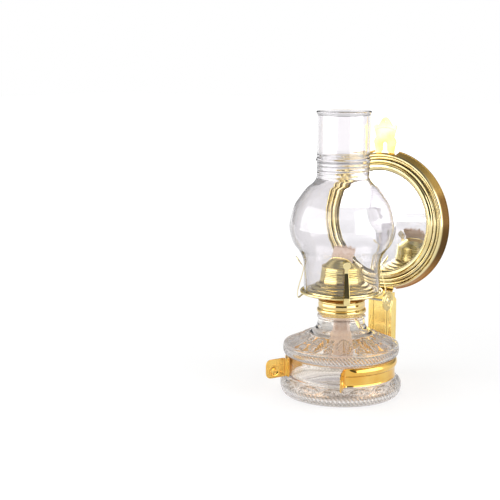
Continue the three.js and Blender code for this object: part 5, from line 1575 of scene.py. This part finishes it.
def curve_to(line, control, end, steps=8):
    """Carries a line on by a smooth curve to end, pulled towards control."""
    start = line[-1]
    for i in range(1, steps + 1):
        t = i / steps
        line.append(tuple((1 - t) ** 2 * s + 2 * t * (1 - t) * c + t * t * e
                          for s, c, e in zip(start, control, end)))


print(f"the bracket stands {low('wall_bracket', 'z'):.1f} to {high('wall_bracket', 'z'):.1f} mm up")

# %% The bracket's front outline
FOOT = low("wall_bracket", "z")
LEAF_TOP = high("wall_bracket", "z")
PANEL_Y = 76.9  # the channel's face
LEAF_Y = 80.5  # the face behind the mirror and of the leaf
WALL_Y = high("wall_bracket", "y")
LEAF_Z = 237.6  # where the leaf begins to spread
LOBE = 13.8  # half its width
KEY_TOP, KEY_MOUTH = 248.9, 235.9  # the top of the slot and the middle of the round mouth
STEP_LOW, STEP_HIGH = 91.0, 94.6


def bracket_front():
    """Half the outline, upwards along +X, then the same mirrored."""
    up, lobe = LEAF_TOP - LEAF_Z, LOBE
    line = [(11.0, FOOT)]
    curve_to(line, (14.0, FOOT), (14.0, FOOT + 3.0))
    line += [(14.0, STEP_LOW), (13.5, (STEP_LOW + STEP_HIGH) / 2), (13.5, LEAF_Z - 0.2 * up),
             (0.78 * lobe, LEAF_Z + 0.03 * up)]
    curve_to(line, (0.86 * lobe, LEAF_Z + 0.2 * up), (0.95 * lobe, LEAF_Z + 0.3 * up))
    curve_to(line, (0.93 * lobe, LEAF_Z + 0.37 * up), (0.76 * lobe, LEAF_Z + 0.44 * up))
    curve_to(line, (0.84 * lobe, LEAF_Z + 0.6 * up), (lobe, LEAF_Z + 0.73 * up))
    curve_to(line, (0.96 * lobe, LEAF_Z + 0.82 * up), (0.6 * lobe, LEAF_Z + 0.77 * up))
    curve_to(line, (0.4 * lobe, LEAF_Z + 0.88 * up), (0.24 * lobe, LEAF_Z + 0.96 * up))
    curve_to(line, (0.1 * lobe, LEAF_TOP), (0.0, LEAF_TOP))
    return line + [(-x, z) for x, z in line[-2::-1]]


def keyhole():
    """A round mouth below for the screw's head and a narrow slot above for its neck."""
    half, mouth = 2.7, 5.0
    opening = math.asin(half / mouth)
    angles = np.linspace(math.pi / 2 + opening, 2.5 * math.pi - opening, 33)
    line = [(mouth * math.cos(a), KEY_MOUTH + mouth * math.sin(a)) for a in angles]
    return line + [(half * math.cos(a), KEY_TOP - half + half * math.sin(a))
                   for a in np.linspace(0, math.pi, 13)]


print("bracket front:", len(bracket_front()), "corners; keyhole:", len(keyhole()))

# %% [markdown]
# The strip's side view, a sheet line with the step in it, is extruded across. The front
# outline is extruded backwards. Where both are filled is the bent strip. The flanges are
# plates, and each bead is half a pipe whose ends close in smoothly.

# %% The bracket's sheet, flanges and beads
side_line = rounded([(PANEL_Y + 0.5, FOOT - 4), (PANEL_Y + 0.5, STEP_LOW), (LEAF_Y + 0.5, STEP_HIGH),
                     (LEAF_Y + 0.5, LEAF_TOP + 4)], 1.2)
side = prism(sheet(side_line, 1.0), "x", -16, 16)
front = prism(bracket_front(), "y", PANEL_Y - 4, WALL_Y + 4)
plate = combined(side, [front], "INTERSECT")
flange_line = rounded([(PANEL_Y + 0.2, FOOT + 3), (PANEL_Y + 3, FOOT), (WALL_Y, FOOT), (WALL_Y, 82.6),
                       (PANEL_Y + 6.4, 86.2), (PANEL_Y + 6.4, 90.8), (PANEL_Y + 0.2, 90.8)], 0.8)
flanges = [prism(flange_line, "x", x, x + 1) for x in (-14, 13)]


def pressed_bead(x, z0, z1):
    """A half-round bead up the channel's face, with rounded ends."""
    wide, tall, rows, across = 1.7, 0.8, 60, 12
    vertices = []
    for i in range(rows + 1):
        z = z0 + (z1 - z0) * i / rows
        end = min(1.0, (z - z0) / 2.0, (z1 - z) / 2.0)
        swell = math.sqrt(max(0.0, 1 - (1 - end) ** 2))
        for j in range(across + 1):
            a = math.pi * j / across
            y = PANEL_Y + 0.3 - (tall + 0.3) * swell * math.sin(a)
            vertices.append((x + wide * swell * math.cos(a), y, z))
    return outward(from_faces(vertices, grid_faces(rows + 1, across + 1)))


bead_low = high("clip_standoff", "z") + 3
beads = [pressed_bead(x, bead_low, STEP_LOW - 0.6) for x in (-8.4, 8.4)]
print("bracket plate:", len(plate.polygons), "faces")

# %% [markdown]
# The parts are joined as one body of sheet, then the keyhole, the nail hole and the rivet
# holes go through it. All edges are broken a little, as a press tool leaves them. A row of
# small raised dots follows the leaf's shoulders.

# %% Make the bracket
def through_bracket(radius, x, z):
    """A round cutter through the bracket."""
    return bore_y(radius, 20, x, PANEL_Y + 12, z)


def bump_y(radius, x, z):
    """A low round dot raised on the leaf's face."""
    dot = turned([(0, -0.5), (radius, -0.5), (radius, 0.1), (0.7 * radius, 0.28), (0, 0.36)], 12)
    return along_y(dot, x, LEAF_Y + 0.1, z)


RIVET_HOLE = 1.3
rivet_nodes = ("standoff_rivet_upper", "standoff_rivet_lower", "reflector_rivet_upper",
               "reflector_rivet_lower")
heights = [(low(n, "z") + high(n, "z")) / 2 for n in rivet_nodes]
body = combined(plate, [*flanges, *beads], "UNION")
body = cut(body, prism(keyhole(), "y", PANEL_Y - 4, WALL_Y + 4),
           through_bracket(0.8, 0, LEAF_TOP - 4.2),
           *[through_bracket(RIVET_HOLE, 0, z) for z in heights])
body = outward(finished(body, broken_edges(0.15, limit_method="ANGLE", angle_limit=math.radians(50))))
dots = [bump_y(0.5, x, LEAF_TOP - 10.4 - 0.02 * x * x) for x in np.linspace(-9.6, 9.6, 13)]
piece("leaf_bracket", joined([body, *dots]), "bracket", BRACKET_BRASS,
      ["wall_bracket"], crease=12)

# %% [markdown]
# ## The reflector
#
# A ring of thin brass is spun with two beads and a plain band, and its wall flares back to a
# rolled edge. It holds a flat mirror against a pan of tinned sheet. The ring is turned about
# the mirror's own axis. A notch at the top and bottom of its wall lets the bracket pass.

# %% The lines of the mirror's frame
FRAME_BACK = high("reflector_frame", "y")
LIP = MIRROR_FACE - 0.7
EDGE_R = 0.95


def frame_line():
    """(distance from the mirror's axis, depth) from the sight edge to the back edge."""
    line = [(53.1, MIRROR_FACE - 0.45)]
    line += [(53.5 + 7.4 * t, LIP - 2.55 * math.sin(math.pi * t) ** 0.75) for t in np.linspace(0, 1, 25)]
    line += [(61.0 + 3.7 * t, LIP - 1.5 * math.sin(math.pi * t) ** 0.8) for t in np.linspace(0.05, 1, 14)]
    line += [(64.8 + 3.1 * t, LIP + 1.35 * math.sin(math.pi * t) ** 0.7) for t in np.linspace(0.08, 1, 14)]
    return line + rounded([(68.1, LIP - 0.25), (69.4, LIP - 0.15), (70.1, LIP + 0.7), (70.8, 78.4),
                           (72.6, 83.6), (73.1, 84.9)], 0.8)


def rolled_edge():
    """The wire-like roll round the back edge, as a circle."""
    return [(73.15 + EDGE_R * math.cos(a), FRAME_BACK - 0.97 + EDGE_R * math.sin(a))
            for a in np.linspace(0, TAU, 17)[:-1]]


print("frame line:", len(frame_line()), "points")


# %% Make the frame of the mirror
def pass_block(z0, z1):
    """Clears the way for the bracket between two heights."""
    return block(-14.6, 78.3, z0, 14.6, FRAME_BACK + 3, z1)


notches = (pass_block(MIRROR_Z - 76, MIRROR_Z - 60), pass_block(MIRROR_Z + 60, MIRROR_Z + 76))
ring = cut(turned(sheet(frame_line(), 0.7), 256, axis_y=MIRROR_Z), *notches)
roll = cut(turned(rolled_edge(), 256, axis_y=MIRROR_Z), *notches)
piece("spun_reflector_frame", joined([outward(ring), outward(roll)]), "bracket", FRAME_BRASS,
      ["reflector_frame"], crease=40)

# %% [markdown]
# The pan is pressed from tinned steel with two shallow rings that keep the flat sheet from
# drumming. Its edge is a tray for the mirror's rim. It too is turned from one section.

# %% Make the pan behind the mirror
PAN = low("mirror_backing", "y"), high("mirror_backing", "y")


def pan_line():
    """(distance from the mirror's axis, depth) from the middle to the tray's edge."""
    back = PAN[1] - 0.35
    line = [(0, back), (20.0, back), (21.0, back - 0.4), (23.0, back - 0.4), (24.0, back), (48.0, back),
            (49.2, back - 0.5), (51.2, back - 0.5), (52.4, back), (58.3, back), (59.7, PAN[0] + 2.1),
            (61.1, PAN[0] + 0.35), (63.6, PAN[0] + 0.35)]
    return rounded(line, 0.5)


reflector_holes = [through_bracket(RIVET_HOLE, 0, z) for z in heights[2:]]
pan = cut(turned(sheet(pan_line(), 0.7), 192, axis_y=MIRROR_Z), *reflector_holes)
piece("tinned_pan", outward(pan), "bracket", TINPLATE, ["mirror_backing"], crease=35)

# %% [markdown]
# ## Parts that keep their CAD shape
#
# The draught plate, the wick tube, the spur wheels and the mirror are simple plates and
# tubes, true as drawn, so the CAD meshes stay and only take their real finishes.

# %% Dress the CAD parts
for node, finish in (("draft_plate", INNER), ("wick_tube", INNER), ("spur_wheel_left", STEEL),
                     ("spur_wheel_right", STEEL), ("mirror_glass", MIRROR)):
    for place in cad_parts[node].material_slots:
        place.material = finish
    print(node, "takes", finish.name)

# %% [markdown]
# ## The floor
#
# A sweep of white paper in a plain studio. Lit by lamps alone it would fall grey at the
# back, so it gives a little light of its own, and more of it further out. That light is
# seen, directly or mirrored or through glass, but lights nothing, so the soft shadow stays.

# %% The floor
SWEEP = 6000  # mm from the middle to an edge
SWEEP_NEAR, SWEEP_FAR = 0.3, 2.6  # metres between which the paper's own light grows


def floor_finish(near, far):
    """White paper. Its own light goes from near, round the lamp, to far, at the sweep's end."""
    made, tree, shader = new_finish("white paper sweep")
    shader.inputs["Base Color"].default_value = tint("#a8a8a8")
    shader.inputs["Roughness"].default_value = 0.9
    shader.inputs["Specular IOR Level"].default_value = 0.1
    path = add(tree, "ShaderNodeLightPath")
    seen = add(tree, "ShaderNodeMath",
               {0: path.outputs["Is Camera Ray"], 1: path.outputs["Is Glossy Ray"]}, out=0,
               operation="MAXIMUM")
    seen = add(tree, "ShaderNodeMath", {0: seen, 1: path.outputs["Is Transmission Ray"]}, out=0,
               operation="MAXIMUM")
    place = add(tree, "ShaderNodeTexCoord", out="Object")
    reach = add(tree, "ShaderNodeVectorMath", {0: place}, out="Value", operation="LENGTH")
    level = add(tree, "ShaderNodeMapRange", {"Value": reach, "From Min": SWEEP_NEAR, "From Max": SWEEP_FAR,
                                             "To Min": near, "To Max": far}, out=0)
    glow = add(tree, "ShaderNodeMath", {0: seen, 1: level}, out=0, operation="MULTIPLY")
    shader.inputs["Emission Color"].default_value = (1, 1, 1, 1)
    tree.links.new(glow, shader.inputs["Emission Strength"])
    return made


corners = [(x * SWEEP, y * SWEEP, 0) for x, y in ((-1, -1), (1, -1), (1, 1), (-1, 1))]
floor_mesh = from_faces(corners, [(0, 1, 2, 3)])
floor_mesh.materials.append(floor_finish(0.61, 0.98))
floor = bpy.data.objects.new("floor", floor_mesh)
scene.collection.objects.link(floor)
print("floor:", floor_mesh.materials[0].name)

# %% [markdown]
# ## The room
#
# Seen directly the room is plain white. Polished brass needs something to mirror, so metal
# sees a room that is dark round the camera, bright at the sides and dimmer far behind and
# overhead. What glass mirrors inside itself is lifted back towards white, or the chimney's
# walls would turn grey.

# %% The room
BESIDE_LEVEL = 0.06  # how bright the room is round the camera, to metal
CEILING_LEVEL = 0.1
FAR_LEVEL = 0.35
FILL_LEVEL = 0.7  # how much the room lights what is not polished
GLASS_LIFT = 0.12  # how far light that has gone through both glass walls is lifted to white
WALL_LIFT = 0.65  # the same for light that turned back in the first wall
FIRST_WALL = 3.5  # passages through a surface that still count as the first wall


def studio():
    """White to the eye and through glass. To polished metal it is a dim room."""
    world = bpy.data.worlds.new("studio")
    world.use_nodes = True
    tree = world.node_tree
    back = tree.nodes["Background"]
    path = add(tree, "ShaderNodeLightPath")
    direction = add(tree, "ShaderNodeTexCoord", out="Generated")
    away = (-math.sin(CAMERA_AROUND), math.cos(CAMERA_AROUND), 0)
    depth = add(tree, "ShaderNodeVectorMath", {0: direction, 1: away}, out="Value", operation="DOT_PRODUCT")
    walls = add(tree, "ShaderNodeMapRange",
                {"Value": depth, "From Min": -0.97, "From Max": -0.3, "To Min": BESIDE_LEVEL,
                 "To Max": 1.0}, out=0, interpolation_type="SMOOTHSTEP")
    beyond = add(tree, "ShaderNodeMapRange",
                 {"Value": depth, "From Min": 0.2, "From Max": 0.75, "To Min": 1.0,
                  "To Max": FAR_LEVEL}, out=0, interpolation_type="SMOOTHSTEP")
    walls = add(tree, "ShaderNodeMath", {0: walls, 1: beyond}, out=0, operation="MULTIPLY")
    height = add(tree, "ShaderNodeSeparateXYZ", {0: direction}, out="Z")
    dim = add(tree, "ShaderNodeMapRange",
              {"Value": height, "From Min": 0.6, "From Max": 0.9, "To Min": 0.0, "To Max": 1.0},
              out=0, interpolation_type="SMOOTHSTEP")
    room = add(tree, "ShaderNodeMix", {0: dim, 2: walls, 3: CEILING_LEVEL}, out=0, data_type="FLOAT")
    direct = add(tree, "ShaderNodeMath",
                 {0: path.outputs["Is Camera Ray"], 1: path.outputs["Is Transmission Ray"]}, out=0,
                 operation="MAXIMUM")
    level = add(tree, "ShaderNodeMix", {0: direct, 2: FILL_LEVEL, 3: 1.0}, out=0, data_type="FLOAT")
    mirrored = add(tree, "ShaderNodeMath", {0: path.outputs["Glossy Depth"], 1: 0.5}, out=0,
                   operation="GREATER_THAN")
    mirrored = add(tree, "ShaderNodeMath", {0: mirrored, 1: path.outputs["Is Glossy Ray"]}, out=0,
                   operation="MAXIMUM")
    early = add(tree, "ShaderNodeMath", {0: path.outputs["Transmission Depth"], 1: FIRST_WALL}, out=0,
                operation="LESS_THAN")
    lift = add(tree, "ShaderNodeMix", {0: early, 2: GLASS_LIFT, 3: WALL_LIFT}, out=0, data_type="FLOAT")
    passed = add(tree, "ShaderNodeMath", {0: path.outputs["Transmission Depth"], 1: 0.5}, out=0,
                 operation="GREATER_THAN")
    lift = add(tree, "ShaderNodeMath", {0: passed, 1: lift}, out=0, operation="MULTIPLY")
    room = add(tree, "ShaderNodeMix", {0: lift, 2: room, 3: 1.0}, out=0, data_type="FLOAT")
    level = add(tree, "ShaderNodeMix", {0: mirrored, 2: level, 3: room}, out=0, data_type="FLOAT")
    back.inputs["Color"].default_value = (1, 1, 1, 1)
    tree.links.new(level, back.inputs["Strength"])
    return world


scene.world = studio()
print("world:", scene.world.name, "with", len(scene.world.node_tree.nodes), "nodes")

# %% [markdown]
# ## The lamps
#
# Two soft boxes, one at each side of the camera. Glass and brass show a lamp by its shape,
# so they are tall and wide: each draws one long upright highlight down the chimney. A soft
# box's power is worked out from its size, so that its face keeps the same brightness.

# %% The lamps
def soft_lamp(name, around, distance, height, width, tall, level):
    """A soft box with an even face, turned from the camera's side by so many degrees."""
    light = bpy.data.lights.new(name, "AREA")
    light.shape = "RECTANGLE"
    light.size, light.size_y = width, tall
    light.energy = level * math.pi * width * tall
    lamp = bpy.data.objects.new(name, light)
    scene.collection.objects.link(lamp)
    angle = CAMERA_AROUND + math.radians(around)
    lamp.location = (distance * math.sin(angle), -distance * math.cos(angle), height)
    lamp.rotation_euler = (Vector((0, 0, height)) - lamp.location).to_track_quat("-Z", "Y").to_euler()
    return lamp


soft_lamp("left soft box", -66, 1.2, 0.55, 1.8, 1.1, 2.4)
soft_lamp("right soft box", 60, 1.2, 0.55, 1.5, 1.1, 2.4)

# %% [markdown]
# ## The view
#
# The view transform is plain, so that whites stay white and brass keeps its own yellow.

# %% The view transform
scene.view_settings.view_transform = "Standard"
